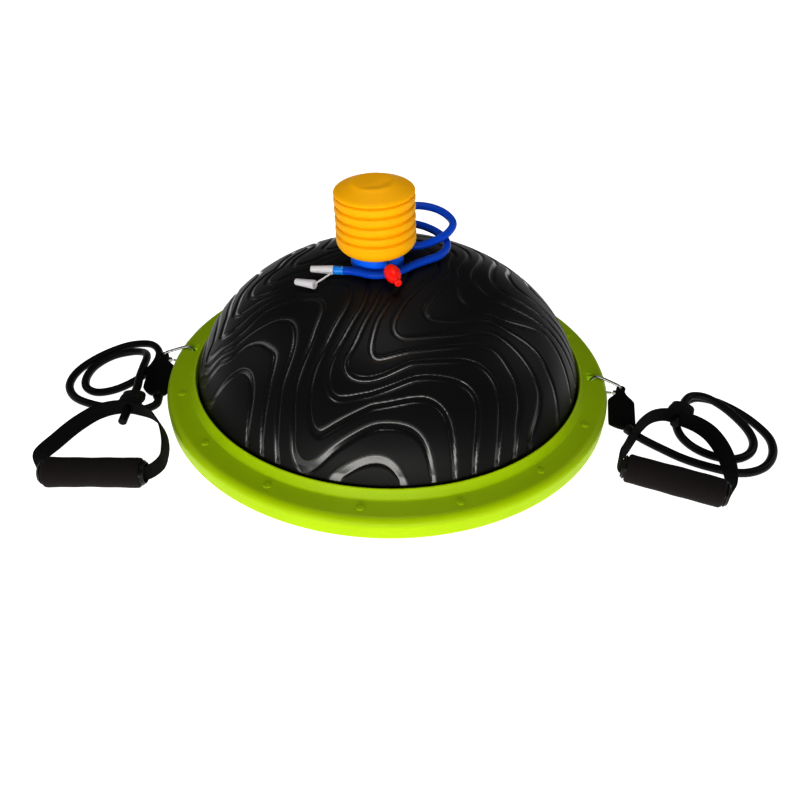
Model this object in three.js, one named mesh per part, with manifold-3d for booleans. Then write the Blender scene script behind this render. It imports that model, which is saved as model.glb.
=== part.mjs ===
// Balance dome trainer: an air-filled dome clamped to a round platform by a screwed rim ring, with two
// clip-on resistance bands and the foot pump that inflates it. Millimetres, +Z up, origin at the centre
// of the underside. The hook slots lie on the X axis.
import * as THREE from "three";
import { mergeVertices } from "three/addons/utils/BufferGeometryUtils.js";
import Module from "manifold-3d";

const wasm = await Module();
wasm.setup();

// ---- Driving dimensions ----
const GAP = 0.3; // between pieces that touch
const CUT = 1; // how far a cutter runs past the face it cuts

// Rim ring: a clamp ring with an outer wall, a flat flange and a raised inner lip
const RIM_RADIUS = 300;
const RIM_WALL = 3.5;
const RIM_BOTTOM = 3;
const FLANGE_TOP = 27.5;
const FILLET_RADIUS = 10;
const LIP_TOP = 39.5;
const LIP_INNER = 260.3;
const LIP_FOOT = 268;
const LIP_CREST = 2.5;
const LIP_ROUND = 0.8;
const CLAMP_LEG = 5;
const RIM_STEPS = 48;

// Sixteen stations round the flange: fourteen screws and, on the X axis, two hook slots
const STATIONS = 16;
const STATION_RADIUS = 280;
const POST_RADIUS = 5.5;
const PIP_RADIUS = 4;
const PIP_HEIGHT = 1.2;
const SLOT_LENGTH = 13;
const SLOT_WIDTH = 16;
const BAR_BOTTOM = 16;
const ARCH_WIDTH = 36;

// Platform, and the rubber pads that it stands on
const PAD_HEIGHT = 2;
const PLATFORM_TOP = 14;
const PLATFORM_RADIUS = 295.5;
const PAD_RADIUS = 22;
const PAD_CIRCLE = 225;
const OUTER_PADS = 4;

// Air dome: half an ellipsoid standing on a short wall with a clamped flange
const DOME_RADIUS = 261.4;
const DOME_RISE = 186.5;
const DOME_CENTRE_Z = 3.2;
const DOME_WALL = 3;
const DOME_FLANGE_RADIUS = 271;
const DOME_STEPS = 36;

// Inflation valve, low on the back of the dome
const VALVE_Z = 78;
const VALVE_HOLE = 9;
const VALVE_FLANGE = 13;
const PLUG_RADIUS = 5;

// Snap hook, wire bent to a pear shape in an upright plane
const WIRE = 4;
const HOOK_LENGTH = 42;
const HOOK_BIG = 12;
const HOOK_SMALL = 7;
const HOOK_Z = 19;
const HOOK_YAW = 20;
const HOOK_START = 279.5;

// Band tube, handle and webbing
const TUBE_RADIUS = 5.25;
const TUBE_SIDES = 8;
const GRIP_Z = 18;
const FOAM_RADIUS = 17.5;
const FOAM_LENGTH = 108;
const CORE_RADIUS = 13.4;
const CORE_BORE = 12;
const CORE_LENGTH = 111;
const CAP_WIDTH = 5.5;
const CAP_RADIUS = 15;
const WEB_WIDTH = 22;
const WEB_THICK = 2;
const KEEPER_Z = 19.5;
const KEEPER_LENGTH = 27;
const KEEPER_HALF_WIDTH = 12;
const KEEPER_HALF_HEIGHT = 8;
const KEEPER_CLEAR = 2.2;
const STEM_RADIUS = 3.6;
const STEM_DEPTH = 6;
const TAIL_CLEAR = 4.6;

// Foot pump, standing on the dome
const PUMP_X = -14;
const PUMP_Y = -20;
const BASE_RADIUS = 32.5;
const BASE_HEIGHT = 20;
const BELLOWS_RADIUS = 47;
const BELLOWS_DEPTH = 4;
const BELLOWS_BAND = 16.5;
const FOLD_HEIGHT = 14;
const FOLDS = 4;
const HOSE_RADIUS = 5;

// ---- Colours and finishes ----
function finish(colour, roughness, metalness = 0) {
  return new THREE.MeshStandardMaterial({ color: colour, roughness, metalness });
}
const LIME = finish(0xb2d403, 0.4);
const CHARCOAL = finish(0x2a2a2c, 0.45);
const RUBBER = finish(0x161616, 0.7);
const FOAM = finish(0x1d1816, 0.95);
const WEBBING = finish(0x0c0c0c, 0.9);
const STEEL = finish(0x9a9c9e, 0.3, 1);
const YELLOW = finish(0xf2b000, 0.45);
const BLUE = finish(0x003cc8, 0.4);
const HOSE_BLUE = finish(0x002896, 0.45);
const CYAN = finish(0x1496dc, 0.35);
const GREY = finish(0xbebec3, 0.45);
const RED = finish(0xe6190f, 0.4);

// ---- Shape helpers ----
const vec = (x, y, z = 0) => new THREE.Vector3(x, y, z);
const radians = THREE.MathUtils.degToRad;
const root = new THREE.Group();

function place(name, geometry, material, parent = root) {
  const mesh = new THREE.Mesh(geometry, material);
  mesh.name = name;
  parent.add(mesh);
  return mesh;
}

// A solid of revolution about Z. The profile is a list of [radius, z]; a ring's profile closes on itself.
function turned(profile, steps) {
  const points = profile.map(([r, z]) => new THREE.Vector2(r, z));
  const onAxis = points[0].x === 0;
  if (!onAxis) points.push(points[0].clone());
  if (THREE.ShapeUtils.area(points) < 0) points.reverse();
  return new THREE.LatheGeometry(points, steps).rotateX(Math.PI / 2);
}

// An upright cylinder between two heights.
function post(radius, low, high, steps = 12, topRadius = radius) {
  const cylinder = new THREE.CylinderGeometry(topRadius, radius, high - low, steps);
  return cylinder.rotateX(Math.PI / 2).translate(0, 0, (low + high) / 2);
}

function box(xs, ys, zs) {
  const sizes = [xs, ys, zs].map(([low, high]) => high - low);
  const centre = [xs, ys, zs].map(([low, high]) => (low + high) / 2);
  return new THREE.BoxGeometry(...sizes).translate(...centre);
}

// Turns a shape made along +Z so that it runs along a direction from a point.
function along(geometry, start, direction) {
  const turn = new THREE.Quaternion().setFromUnitVectors(vec(0, 0, 1), direction.clone().normalize());
  return geometry.applyQuaternion(turn).translate(start.x, start.y, start.z);
}

function circle(radius, sides) {
  const corners = [];
  for (let i = 0; i < sides; i += 1) {
    const angle = (2 * Math.PI * (i + 0.5)) / sides;
    corners.push(new THREE.Vector2(radius * Math.cos(angle), radius * Math.sin(angle)));
  }
  return new THREE.Shape(corners);
}

function swept(curve, radius, sides, steps) {
  return new THREE.ExtrudeGeometry(circle(radius, sides), { steps, extrudePath: curve });
}

function spline(points) {
  return new THREE.CatmullRomCurve3(points.map((p) => vec(...p)), false, "centripetal");
}

// ---- Booleans ----
function solid(geometry) {
  const bare = geometry.clone();
  bare.deleteAttribute("normal");
  bare.deleteAttribute("uv");
  const merged = mergeVertices(bare, 1e-4);
  return new wasm.Manifold(
    new wasm.Mesh({
      numProp: 3,
      vertProperties: merged.attributes.position.array,
      triVerts: new Uint32Array(merged.index.array),
    }),
  );
}

function combined(base, added, removed) {
  let result = solid(base);
  for (const piece of added) result = result.add(solid(piece));
  for (const piece of removed) result = result.subtract(solid(piece));
  const mesh = result.getMesh();
  const geometry = new THREE.BufferGeometry();
  geometry.setAttribute("position", new THREE.BufferAttribute(mesh.vertProperties, 3));
  geometry.setIndex(new THREE.BufferAttribute(mesh.triVerts, 1));
  return geometry;
}

// ---- Stations ----
const stationAngle = (i) => (2 * Math.PI * i) / STATIONS;
const isSlot = (i) => i % (STATIONS / 2) === 0;
const screwStations = [...Array(STATIONS).keys()].filter((i) => !isSlot(i));

function atStation(geometry, i) {
  return geometry.translate(STATION_RADIUS, 0, 0).rotateZ(stationAngle(i));
}

const onBothSides = (make) => [make(), make().rotateZ(Math.PI)];

// ---- Platform ----
const SCREW_SIDES = 6;
const SCREW_RADIUS = 2.2;
const HEAD_RADIUS = 4.5;
const HEAD_TOP = 6.5;
const SCREW_TOP = 21;
const POCKET_INNER = 268;
const POCKET_HALF = 22;
const EDGE_CHAMFER = 3;

const platformDisc = turned(
  [
    [0, PAD_HEIGHT],
    [PLATFORM_RADIUS - EDGE_CHAMFER, PAD_HEIGHT],
    [PLATFORM_RADIUS, PAD_HEIGHT + EDGE_CHAMFER],
    [PLATFORM_RADIUS, PLATFORM_TOP],
    [0, PLATFORM_TOP],
  ],
  RIM_STEPS,
);
const platformHoles = screwStations.flatMap((i) => [
  atStation(post(SCREW_RADIUS + GAP, PAD_HEIGHT - CUT, PLATFORM_TOP + CUT, SCREW_SIDES), i),
  atStation(post(HEAD_RADIUS + GAP, PAD_HEIGHT - CUT, HEAD_TOP + GAP, SCREW_SIDES), i),
]);
const hookPocket = () =>
  box([POCKET_INNER, RIM_RADIUS], [-POCKET_HALF, POCKET_HALF], [0, PLATFORM_TOP + CUT]);
const platformCuts = platformHoles.concat(onBothSides(hookPocket));
place("base_platform", combined(platformDisc, [], platformCuts), LIME);

place("centre_pad", post(PAD_RADIUS, 0, PAD_HEIGHT - GAP, 24), RUBBER);
for (let i = 0; i < OUTER_PADS; i += 1) {
  const pad = post(PAD_RADIUS, 0, PAD_HEIGHT - GAP, 20).translate(PAD_CIRCLE, 0, 0);
  place(`anti_slip_pad_${i + 1}`, pad.rotateZ((2 * Math.PI * (i + 0.5)) / OUTER_PADS), RUBBER);
}

// ---- Rim ring ----
const CLAMP_BOTTOM = PLATFORM_TOP + GAP + DOME_WALL + GAP;
const POST_BOTTOM = PLATFORM_TOP + GAP;
const FLANGE_UNDER = FLANGE_TOP - RIM_WALL;
const FILLET_STEPS = 3;

function rimProfile() {
  const points = [[RIM_RADIUS, RIM_BOTTOM]];
  for (let i = 0; i <= FILLET_STEPS; i += 1) {
    const angle = (Math.PI / 2) * (i / FILLET_STEPS);
    points.push([
      RIM_RADIUS - FILLET_RADIUS * (1 - Math.cos(angle)),
      FLANGE_TOP - FILLET_RADIUS * (1 - Math.sin(angle)),
    ]);
  }
  const inner = RIM_RADIUS - RIM_WALL;
  return points.concat([
    [LIP_FOOT, FLANGE_TOP],
    [LIP_INNER + LIP_CREST, LIP_TOP - LIP_ROUND],
    [LIP_INNER + LIP_CREST / 2, LIP_TOP],
    [LIP_INNER, LIP_TOP - LIP_ROUND],
    [LIP_INNER, CLAMP_BOTTOM],
    [LIP_INNER + CLAMP_LEG, CLAMP_BOTTOM],
    [LIP_INNER + CLAMP_LEG, FLANGE_UNDER],
    [RIM_RADIUS - FILLET_RADIUS, FLANGE_UNDER],
    [inner, FLANGE_TOP - FILLET_RADIUS],
    [inner, RIM_BOTTOM],
  ]);
}

// At each slot a bar under the flange carries the hook, and an arch in the outer wall lets it out.
const ROOT = 0.5; // how far an added piece sinks into what it grows from
const slotInner = STATION_RADIUS - SLOT_LENGTH / 2;
const slotOuter = STATION_RADIUS + SLOT_LENGTH / 2;
const slotSides = [-SLOT_WIDTH / 2, SLOT_WIDTH / 2];
const archSides = [-ARCH_WIDTH / 2, ARCH_WIDTH / 2];
const barSides = [archSides[0] - 2, archSides[1] + 2];
const barDepth = [slotOuter - CUT, RIM_RADIUS - RIM_WALL + ROOT];
const hookBar = () => box(barDepth, barSides, [BAR_BOTTOM, FLANGE_UNDER + ROOT]);
const hookSlot = () => box([slotInner, slotOuter], slotSides, [BAR_BOTTOM - CUT, FLANGE_TOP + CUT]);
const hookArch = () => box([slotOuter, RIM_RADIUS + CUT], archSides, [0, BAR_BOTTOM]);
const POST_SIDES = 8;
const postTop = FLANGE_UNDER + ROOT;
const pipRoot = FLANGE_TOP - ROOT;
const pipTop = FLANGE_TOP + PIP_HEIGHT;
const rimPosts = screwStations.flatMap((i) => [
  atStation(post(POST_RADIUS, POST_BOTTOM, postTop, POST_SIDES), i),
  atStation(post(PIP_RADIUS, pipRoot, pipTop, POST_SIDES, PIP_RADIUS - 1), i),
]);
const rimHoles = screwStations.map((i) =>
  atStation(post(SCREW_RADIUS + GAP, POST_BOTTOM - CUT, SCREW_TOP + GAP, SCREW_SIDES), i),
);
const rimCuts = rimHoles.concat(onBothSides(hookArch), onBothSides(hookSlot));
const rimAdds = rimPosts.concat(onBothSides(hookBar));
place("rim_ring", combined(turned(rimProfile(), RIM_STEPS), rimAdds, rimCuts), LIME);

screwStations.forEach((i, count) => {
  const screw = turned(
    [
      [0, PAD_HEIGHT + GAP],
      [HEAD_RADIUS, PAD_HEIGHT + GAP],
      [HEAD_RADIUS, HEAD_TOP],
      [SCREW_RADIUS, HEAD_TOP],
      [SCREW_RADIUS, SCREW_TOP - 2],
      [0, SCREW_TOP],
    ],
    SCREW_SIDES,
  );
  place(`rim_screw_${count + 1}`, atStation(screw, i), STEEL);
});

// ---- Air dome ----
const DOME_RINGS = 8;
const WALL_INSET = 4.5;

function domeHeight(radius, inset = 0) {
  const share = radius / (DOME_RADIUS - inset);
  return DOME_CENTRE_Z + (DOME_RISE - inset) * Math.sqrt(Math.max(0, 1 - share * share));
}

function domeArc(inset, wallRadius) {
  const points = [];
  for (let i = 0; i < DOME_RINGS; i += 1) {
    const radius = wallRadius * Math.sin((Math.PI / 2) * (i / DOME_RINGS));
    points.push([radius, domeHeight(radius, inset)]);
  }
  points.push([wallRadius, domeHeight(wallRadius, inset)]);
  return points;
}

const wallRadius = DOME_RADIUS - WALL_INSET;
const outerArc = domeArc(0, wallRadius);
const innerArc = domeArc(DOME_WALL, wallRadius - DOME_WALL);
const domeProfile = outerArc.concat(
  [
    [wallRadius, POST_BOTTOM + DOME_WALL],
    [DOME_FLANGE_RADIUS, POST_BOTTOM + DOME_WALL],
    [DOME_FLANGE_RADIUS, POST_BOTTOM],
    [wallRadius - DOME_WALL, POST_BOTTOM],
  ],
  innerArc.reverse(),
);

// The valve stands on the back of the dome, square to its surface.
const VALVE_DEPTH = 9;
const valveRadius = DOME_RADIUS * Math.sqrt(1 - ((VALVE_Z - DOME_CENTRE_Z) / DOME_RISE) ** 2);
const valveAxis = vec(
  0,
  valveRadius / DOME_RADIUS ** 2,
  (VALVE_Z - DOME_CENTRE_Z) / DOME_RISE ** 2,
).normalize();
const valvePoint = vec(0, valveRadius, VALVE_Z);
const onValve = (geometry) => along(geometry, valvePoint, valveAxis);
const domeHole = onValve(post(VALVE_HOLE + GAP, -2 * VALVE_DEPTH, VALVE_DEPTH, 16));
place("air_dome", combined(turned(domeProfile, DOME_STEPS), [], [domeHole]), CHARCOAL);

const VALVE_LIFT = 0.7;
const seatTop = VALVE_LIFT + 2;
const valveSeat = turned(
  [
    [PLUG_RADIUS + GAP, -VALVE_DEPTH],
    [VALVE_HOLE, -VALVE_DEPTH],
    [VALVE_HOLE, VALVE_LIFT],
    [VALVE_FLANGE, VALVE_LIFT],
    [VALVE_FLANGE - 1, seatTop],
    [PLUG_RADIUS + GAP, seatTop],
  ],
  18,
);
place("valve_seat", onValve(valveSeat), RUBBER);

const PLUG_HEAD = 8;
const PLUG_KNOB = 2.5;
const PLUG_TOP = seatTop + 6;
const valvePlug = turned(
  [
    [0, 1 - VALVE_DEPTH],
    [PLUG_RADIUS - 1, 1 - VALVE_DEPTH],
    [PLUG_RADIUS, seatTop + GAP],
    [PLUG_HEAD, seatTop + GAP],
    [PLUG_HEAD, seatTop + 1.8],
    [PLUG_KNOB, seatTop + 2.4],
    [PLUG_KNOB, PLUG_TOP],
    [0, PLUG_TOP],
  ],
  16,
);
place("valve_plug", onValve(valvePlug), GREY);

// ---- Resistance bands ----
// Where each band lies: its grip, the closed line of its handle strap from the right end of the grip round
// to the left end, the point and direction where the tube joins the strap, and the tube's route. Each place
// where the tube passes under the strap has a tunnel, [x, y, half width].
const BANDS = [
  {
    side: "right",
    sign: 1,
    grip: [353.5, -185.5, -17],
    strap: [
      [424, -195], [428, -170], [429, -142], [425, -112], [417, -91], [404, -78],
      [389, -69], [371, -62], [352, -68], [334, -87], [319, -112], [306, -135], [292, -152],
    ],
    apex: [383, -66.3],
    keeper: [0.45, 0.893],
    tail: 12,
    tunnels: [[429, -146, 11], [427, -123, 11], [386, -67, 9], [330, -94, 10]],
    tab: [314, -75],
    ferrule: [323.5, -87],
    tube: [
      [324.6, -88.6, 6], [337, -100, 5.6], [355, -114, 5.6], [380, -131, 5.6], [410, -143, 5.6],
      [444, -149, 5.6], [473, -137, 5.6], [493, -111, 5.6], [500, -79, 5.6], [489, -46, 5.6],
      [468, -18, 5.6], [446, -3, 5.6], [426, -1, 5.6], [408, -14, 5.6], [394, -36, 5.6],
      [386, -62, 5.6], [387, -88, 5.6], [399, -109, 5.6], [420, -122, 5.6], [443, -124, 5.6],
      [463, -113, 5.6], [476, -91, 5.6], [477, -66, 6], [466, -42, 9.5], [450, -24, 14],
      [431, -14, 18], [413, -16, 19.5], [402, -28, 19.5], [396.4, -39.8, 19.5],
    ],
  },
  {
    side: "left",
    sign: -1,
    grip: [-311.5, -252.5, 6.2],
    strap: [
      [-242, -229], [-246, -206], [-256, -181], [-270, -159], [-289, -142], [-306, -135.5],
      [-321, -133.5], [-338, -135.5], [-356, -146], [-371, -170], [-381, -204], [-386.5, -238],
    ],
    apex: [-321, -133.5],
    keeper: [-0.15, 0.989],
    tail: 26,
    tunnels: [],
    tab: [-312, -72],
    ferrule: [-300, -93],
    tube: [
      [-298.9, -95, 6], [-298, -106, 5.6], [-307, -117, 5.6], [-323, -122, 5.6],
      [-350, -121, 5.6], [-380, -117, 5.6], [-410, -105, 5.6], [-430, -80, 5.6], [-434, -46, 5.6], [-418, -4, 5.6], [-388, 28, 5.6],
      [-360, 33, 5.6], [-341, 15, 5.6], [-335, -12, 5.6], [-338, -37, 5.6], [-349, -63, 5.6],
      [-366, -83, 5.6], [-386, -91, 5.6], [-404, -83, 5.6], [-415, -62, 5.6], [-416, -32, 5.6],
      [-402, -4, 5.6], [-378, 9, 6.5], [-358, 3, 11], [-344, -17, 18], [-338, -45, 19.5],
      [-333.5, -68, 19.5], [-327.7, -89, 19.5], [-325.5, -104, 19.5],
    ],
  },
];

// The hook's wire, in its own plane: u runs out from the slot and v up.
function hookPoint(u, v, band) {
  const yaw = radians(HOOK_YAW);
  return vec(band.sign * (HOOK_START + u * Math.cos(yaw)), -u * Math.sin(yaw), HOOK_Z + v);
}

function hookArc(centre, radius, from, to, steps) {
  const points = [];
  for (let i = 0; i <= steps; i += 1) {
    const angle = radians(from + ((to - from) * i) / steps);
    points.push([centre + radius * Math.cos(angle), radius * Math.sin(angle)]);
  }
  return points;
}

// The wire runs from the gate's pivot round the small end, back over the top and round the big end to
// its nose; the gate closes the gap. Angles are in degrees.
const PIVOT_ANGLE = -72;
const SHOULDER = 8;
const NOSE_ANGLE = 286;
const NOSE_CLEAR = 0.8;
const PIVOT_CLEAR = 3.2;
const smallCentre = HOOK_LENGTH - HOOK_SMALL;
const gatePivot = [smallCentre, -HOOK_SMALL];

function makeHook(band) {
  const small = hookArc(smallCentre, HOOK_SMALL, PIVOT_ANGLE, 90 - SHOULDER, 6);
  const big = hookArc(HOOK_BIG, HOOK_BIG, 90 + SHOULDER, NOSE_ANGLE, 9);
  const wire = small.concat(big).map(([u, v]) => hookPoint(u, v, band).toArray());
  place(`hook_${band.side}`, swept(spline(wire), WIRE / 2, 6, 24), STEEL);

  const noseAngle = radians(NOSE_ANGLE);
  const nose = [HOOK_BIG * (1 + Math.cos(noseAngle)), HOOK_BIG * Math.sin(noseAngle)];
  const reach = Math.hypot(gatePivot[0] - nose[0], gatePivot[1] - nose[1]);
  const toward = (share) => nose.map((value, i) => value + (gatePivot[i] - value) * share);
  const start = hookPoint(...toward(NOSE_CLEAR / reach), band);
  const end = hookPoint(...toward(1 - PIVOT_CLEAR / reach), band);
  const length = start.distanceTo(end);
  const bar = along(post(WIRE / 2 - 0.2, 0, length, 8), start, end.clone().sub(start));
  place(`hook_gate_${band.side}`, bar, STEEL);
}

// The webbing that ties the hook to the tube: a loop round the hook's eye, and a flat tab down to the
// floor.
const TAB_WIDTH = 32;
const TAB_THICK = 4.5;
const TAB_END_Z = 6;
const EYE_LOOP = 6;
const EYE_HOLE = 4.2;
const EYE_HALF_HEIGHT = 4;
const FERRULE_LENGTH = 8;
const FERRULE_RADIUS = 6.5;
const FERRULE_RISE = 0.9;

function makeAnchor(band) {
  const eye = hookPoint(HOOK_LENGTH, 0, band);
  const loop = turned(
    [
      [EYE_HOLE, -EYE_HALF_HEIGHT],
      [EYE_LOOP, -EYE_HALF_HEIGHT],
      [EYE_LOOP, EYE_HALF_HEIGHT],
      [EYE_HOLE, EYE_HALF_HEIGHT],
    ],
    14,
  ).translate(eye.x, eye.y, eye.z);
  const end = vec(...band.tab, TAB_END_Z);
  const run = end.clone().sub(eye);
  const length = run.length() - EYE_LOOP + 1;
  const flat = box([-TAB_WIDTH / 2, TAB_WIDTH / 2], [-TAB_THICK / 2, TAB_THICK / 2], [0, length]);
  const start = eye.clone().addScaledVector(run.clone().normalize(), EYE_LOOP - 1);
  const level = new THREE.Quaternion().setFromRotationMatrix(
    new THREE.Matrix4().lookAt(run, vec(0, 0, 0), vec(0, 0, 1)),
  );
  const tab = flat.applyQuaternion(level).translate(start.x, start.y, start.z);
  place(`anchor_strap_${band.side}`, combined(loop, [tab], []), WEBBING);

  const ferruleZ = TAB_END_Z + FERRULE_RISE;
  const ferruleEnd = vec(...band.ferrule, ferruleZ);
  const away = ferruleEnd.clone().sub(vec(...band.tab, ferruleZ)).normalize();
  const ferruleStart = ferruleEnd.clone().addScaledVector(away, -FERRULE_LENGTH);
  const ferrule = post(FERRULE_RADIUS, 0, FERRULE_LENGTH, 12);
  place(`tube_ferrule_${band.side}`, along(ferrule, ferruleStart, away), RUBBER);
}

// The strap stands on edge: a closed line through the grip and round to the keeper, with the webbing's
// thickness half on each side.
const STRAP_STEPS = 46;
const STRAIGHT = [-63, -40, 0, 40, 63];
const TUNNEL_TOP = 2 * TUBE_RADIUS + 1.2;

function strapOutline(band) {
  const [x, y, turn] = band.grip;
  const axis = vec(Math.cos(radians(turn)), Math.sin(radians(turn)));
  const onAxis = (offset) => [x + axis.x * offset, y + axis.y * offset];
  const points = STRAIGHT.map(onAxis).concat(band.strap).map(([px, py]) => vec(px, py));
  const line = new THREE.CatmullRomCurve3(points, true, "centripetal");
  const side = (offset) => {
    const edge = [];
    for (let i = 0; i < STRAP_STEPS; i += 1) {
      const point = line.getPointAt(i / STRAP_STEPS);
      const tangent = line.getTangentAt(i / STRAP_STEPS);
      edge.push(new THREE.Vector2(point.x - tangent.y * offset, point.y + tangent.x * offset));
    }
    return edge;
  };
  const outline = new THREE.Shape(side(-WEB_THICK / 2));
  outline.holes.push(new THREE.Path(side(WEB_THICK / 2)));
  return outline;
}

function makeStrap(band, apex, outward) {
  const outline = strapOutline(band);
  const loop = new THREE.ExtrudeGeometry(outline, { depth: WEB_WIDTH, bevelEnabled: false });
  loop.translate(0, 0, GRIP_Z - WEB_WIDTH / 2);
  const cuts = band.tunnels.map(([x, y, half]) =>
    box([x - half, x + half], [y - half, y + half], [0, TUNNEL_TOP]),
  );
  cuts.push(along(post(STEM_RADIUS + GAP, -10, 10, 10), apex, outward));
  place(`handle_strap_${band.side}`, combined(loop, [], cuts), WEBBING);
}

// A sleeve along the grip's axis, its outer edges rounded off when a rounding is given.
function sleeve(inner, outer, from, to, steps, round = 0) {
  const profile = [[inner, from], [outer - round, from]];
  if (round > 0) profile.push([outer, from + round], [outer, to - round]);
  profile.push([outer - round, to], [inner, to]);
  return turned(profile, steps).rotateY(Math.PI / 2);
}

function makeGrip(band) {
  const group = new THREE.Group();
  group.position.set(band.grip[0], band.grip[1], GRIP_Z);
  group.rotation.z = radians(band.grip[2]);
  root.add(group);
  const half = FOAM_LENGTH / 2;
  const foam = sleeve(CORE_RADIUS + GAP, FOAM_RADIUS, -half, half, 20, 2);
  place(`foam_grip_${band.side}`, foam, FOAM, group);
  const coreHalf = CORE_LENGTH / 2;
  const core = sleeve(CORE_BORE, CORE_RADIUS, -coreHalf, coreHalf, 16);
  place(`grip_core_${band.side}`, core, RUBBER, group);
  const capStart = coreHalf + GAP;
  const capEnd = capStart + CAP_WIDTH;
  const endCap = (from, to) => sleeve(CORE_BORE - GAP, CAP_RADIUS, from, to, 16, 1.2);
  place(`end_cap_inner_${band.side}`, endCap(-capEnd, -capStart), RUBBER, group);
  place(`end_cap_outer_${band.side}`, endCap(capStart, capEnd), RUBBER, group);
}

// The keeper is the lump that holds the tube's end against the strap. The tube's short tail has a stem
// that passes through the strap into it.
function makeKeeper(band, apex, outward) {
  const lump = new THREE.Shape();
  lump.absellipse(0, 0, KEEPER_HALF_WIDTH, KEEPER_HALF_HEIGHT, 0, 2 * Math.PI);
  const settings = { depth: KEEPER_LENGTH, bevelEnabled: false, curveSegments: 8 };
  const bore = post(STEM_RADIUS + GAP, -CUT, STEM_DEPTH + GAP, 10);
  const keeper = combined(new THREE.ExtrudeGeometry(lump, settings), [], [bore]);
  const upright = new THREE.Quaternion().setFromRotationMatrix(
    new THREE.Matrix4().lookAt(outward, vec(0, 0, 0), vec(0, 0, 1)),
  );
  const clear = apex.clone().addScaledVector(outward, KEEPER_CLEAR);
  keeper.applyQuaternion(upright).translate(clear.x, clear.y, clear.z);
  place(`tube_keeper_${band.side}`, keeper, RUBBER);

  const stemEnd = KEEPER_CLEAR + STEM_DEPTH - GAP;
  const tail = turned(
    [
      [0, -TAIL_CLEAR - band.tail],
      [TUBE_RADIUS, -TAIL_CLEAR - band.tail],
      [TUBE_RADIUS, -TAIL_CLEAR],
      [STEM_RADIUS, -TAIL_CLEAR],
      [STEM_RADIUS, stemEnd],
      [0, stemEnd],
    ],
    12,
  );
  place(`tube_tail_${band.side}`, along(tail, apex, outward), RUBBER);
}

const TUBE_STEPS = 42;

for (const band of BANDS) {
  const outward = vec(...band.keeper, 0);
  const apex = vec(...band.apex, KEEPER_Z);
  makeHook(band);
  makeAnchor(band);
  makeStrap(band, apex, outward);
  makeGrip(band);
  makeKeeper(band, apex, outward);
  const tube = swept(spline(band.tube), TUBE_RADIUS, TUBE_SIDES, TUBE_STEPS);
  place(`band_tube_${band.side}`, tube, RUBBER);
}

// ---- Foot pump ----
// It stands square to the dome's surface, so everything but the hose is built in its own tilted group.
const pump = new THREE.Group();
const pumpRadius = Math.hypot(PUMP_X, PUMP_Y);
const pumpZ = domeHeight(pumpRadius);
const pumpAxis = vec(
  PUMP_X / DOME_RADIUS ** 2,
  PUMP_Y / DOME_RADIUS ** 2,
  (pumpZ - DOME_CENTRE_Z) / DOME_RISE ** 2,
).normalize();
pump.quaternion.setFromUnitVectors(vec(0, 0, 1), pumpAxis);
pump.position.set(PUMP_X, PUMP_Y, pumpZ).addScaledVector(pumpAxis, GAP);
root.add(pump);

const PUMP_SIDES = 22;
const FLOOR = 3;
const COLLAR_RADIUS = 26;
const COLLAR_WALL = 2.5;
const COLLAR_TOP = BASE_HEIGHT + 4;
const PORT_Z = 14.5;
const PORT_RADIUS = 4.2;
const PORT_BORE = 2;
const PORT_ROOT = 3;
const OUTLET_LENGTH = 8;
const RED_ANGLE = radians(-64);
const RED_SLOPE = -0.1;
const RED_PORT_LENGTH = 14.5;
const redOut = vec(Math.cos(RED_ANGLE), Math.sin(RED_ANGLE));
const RED_DIRECTION = redOut.clone().setZ(RED_SLOPE).normalize();
const redStart = redOut.clone().multiplyScalar(BASE_RADIUS - PORT_ROOT).setZ(PORT_Z + 0.5);
const outletOut = vec(0, 1, 0);
const outletStart = vec(0, BASE_RADIUS - PORT_ROOT, PORT_Z);

const baseCup = turned(
  [
    [0, 0],
    [BASE_RADIUS - 1, 0],
    [BASE_RADIUS, 1],
    [BASE_RADIUS, BASE_HEIGHT - 3],
    [BASE_RADIUS - 2, BASE_HEIGHT - 1],
    [COLLAR_RADIUS, BASE_HEIGHT - 1],
    [COLLAR_RADIUS, COLLAR_TOP],
    [COLLAR_RADIUS - COLLAR_WALL, COLLAR_TOP],
    [COLLAR_RADIUS - COLLAR_WALL, FLOOR],
    [0, FLOOR],
  ],
  PUMP_SIDES,
);
const portPipe = (length) => post(PORT_RADIUS, 0, length, 12);
const portBore = (length) => post(PORT_BORE, -PORT_ROOT - CUT, length + CUT, 8);
const outletBarb = along(portPipe(OUTLET_LENGTH), outletStart, outletOut);
const redPort = along(portPipe(RED_PORT_LENGTH), redStart, RED_DIRECTION);
const portBores = [
  along(portBore(OUTLET_LENGTH), outletStart, outletOut),
  along(portBore(RED_PORT_LENGTH), redStart, RED_DIRECTION),
];
place("pump_base", combined(baseCup, [outletBarb, redPort], portBores), BLUE, pump);
place("inlet_flap", post(9, FLOOR + GAP, FLOOR + 1.8, 16), RUBBER, pump);

// Bellows: a plain band and four folds, between a bottom plate that grips the base and a rolled top edge
// under the cap.
const BELLOWS_BOTTOM = BASE_HEIGHT;
const BELLOWS_TOP = BELLOWS_BOTTOM + BELLOWS_BAND + FOLDS * FOLD_HEIGHT;
const BELLOWS_WALL = 1.6;

function foldLine(inset) {
  const trough = BELLOWS_RADIUS - BELLOWS_DEPTH - inset;
  const crest = BELLOWS_RADIUS - inset;
  const points = [[crest, BELLOWS_BOTTOM + BELLOWS_BAND / 2]];
  for (let i = 0; i < FOLDS; i += 1) {
    const z = BELLOWS_BOTTOM + BELLOWS_BAND + i * FOLD_HEIGHT;
    points.push([trough, z], [crest, z + FOLD_HEIGHT / 2]);
  }
  points.push([trough, BELLOWS_TOP]);
  return points;
}

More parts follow.
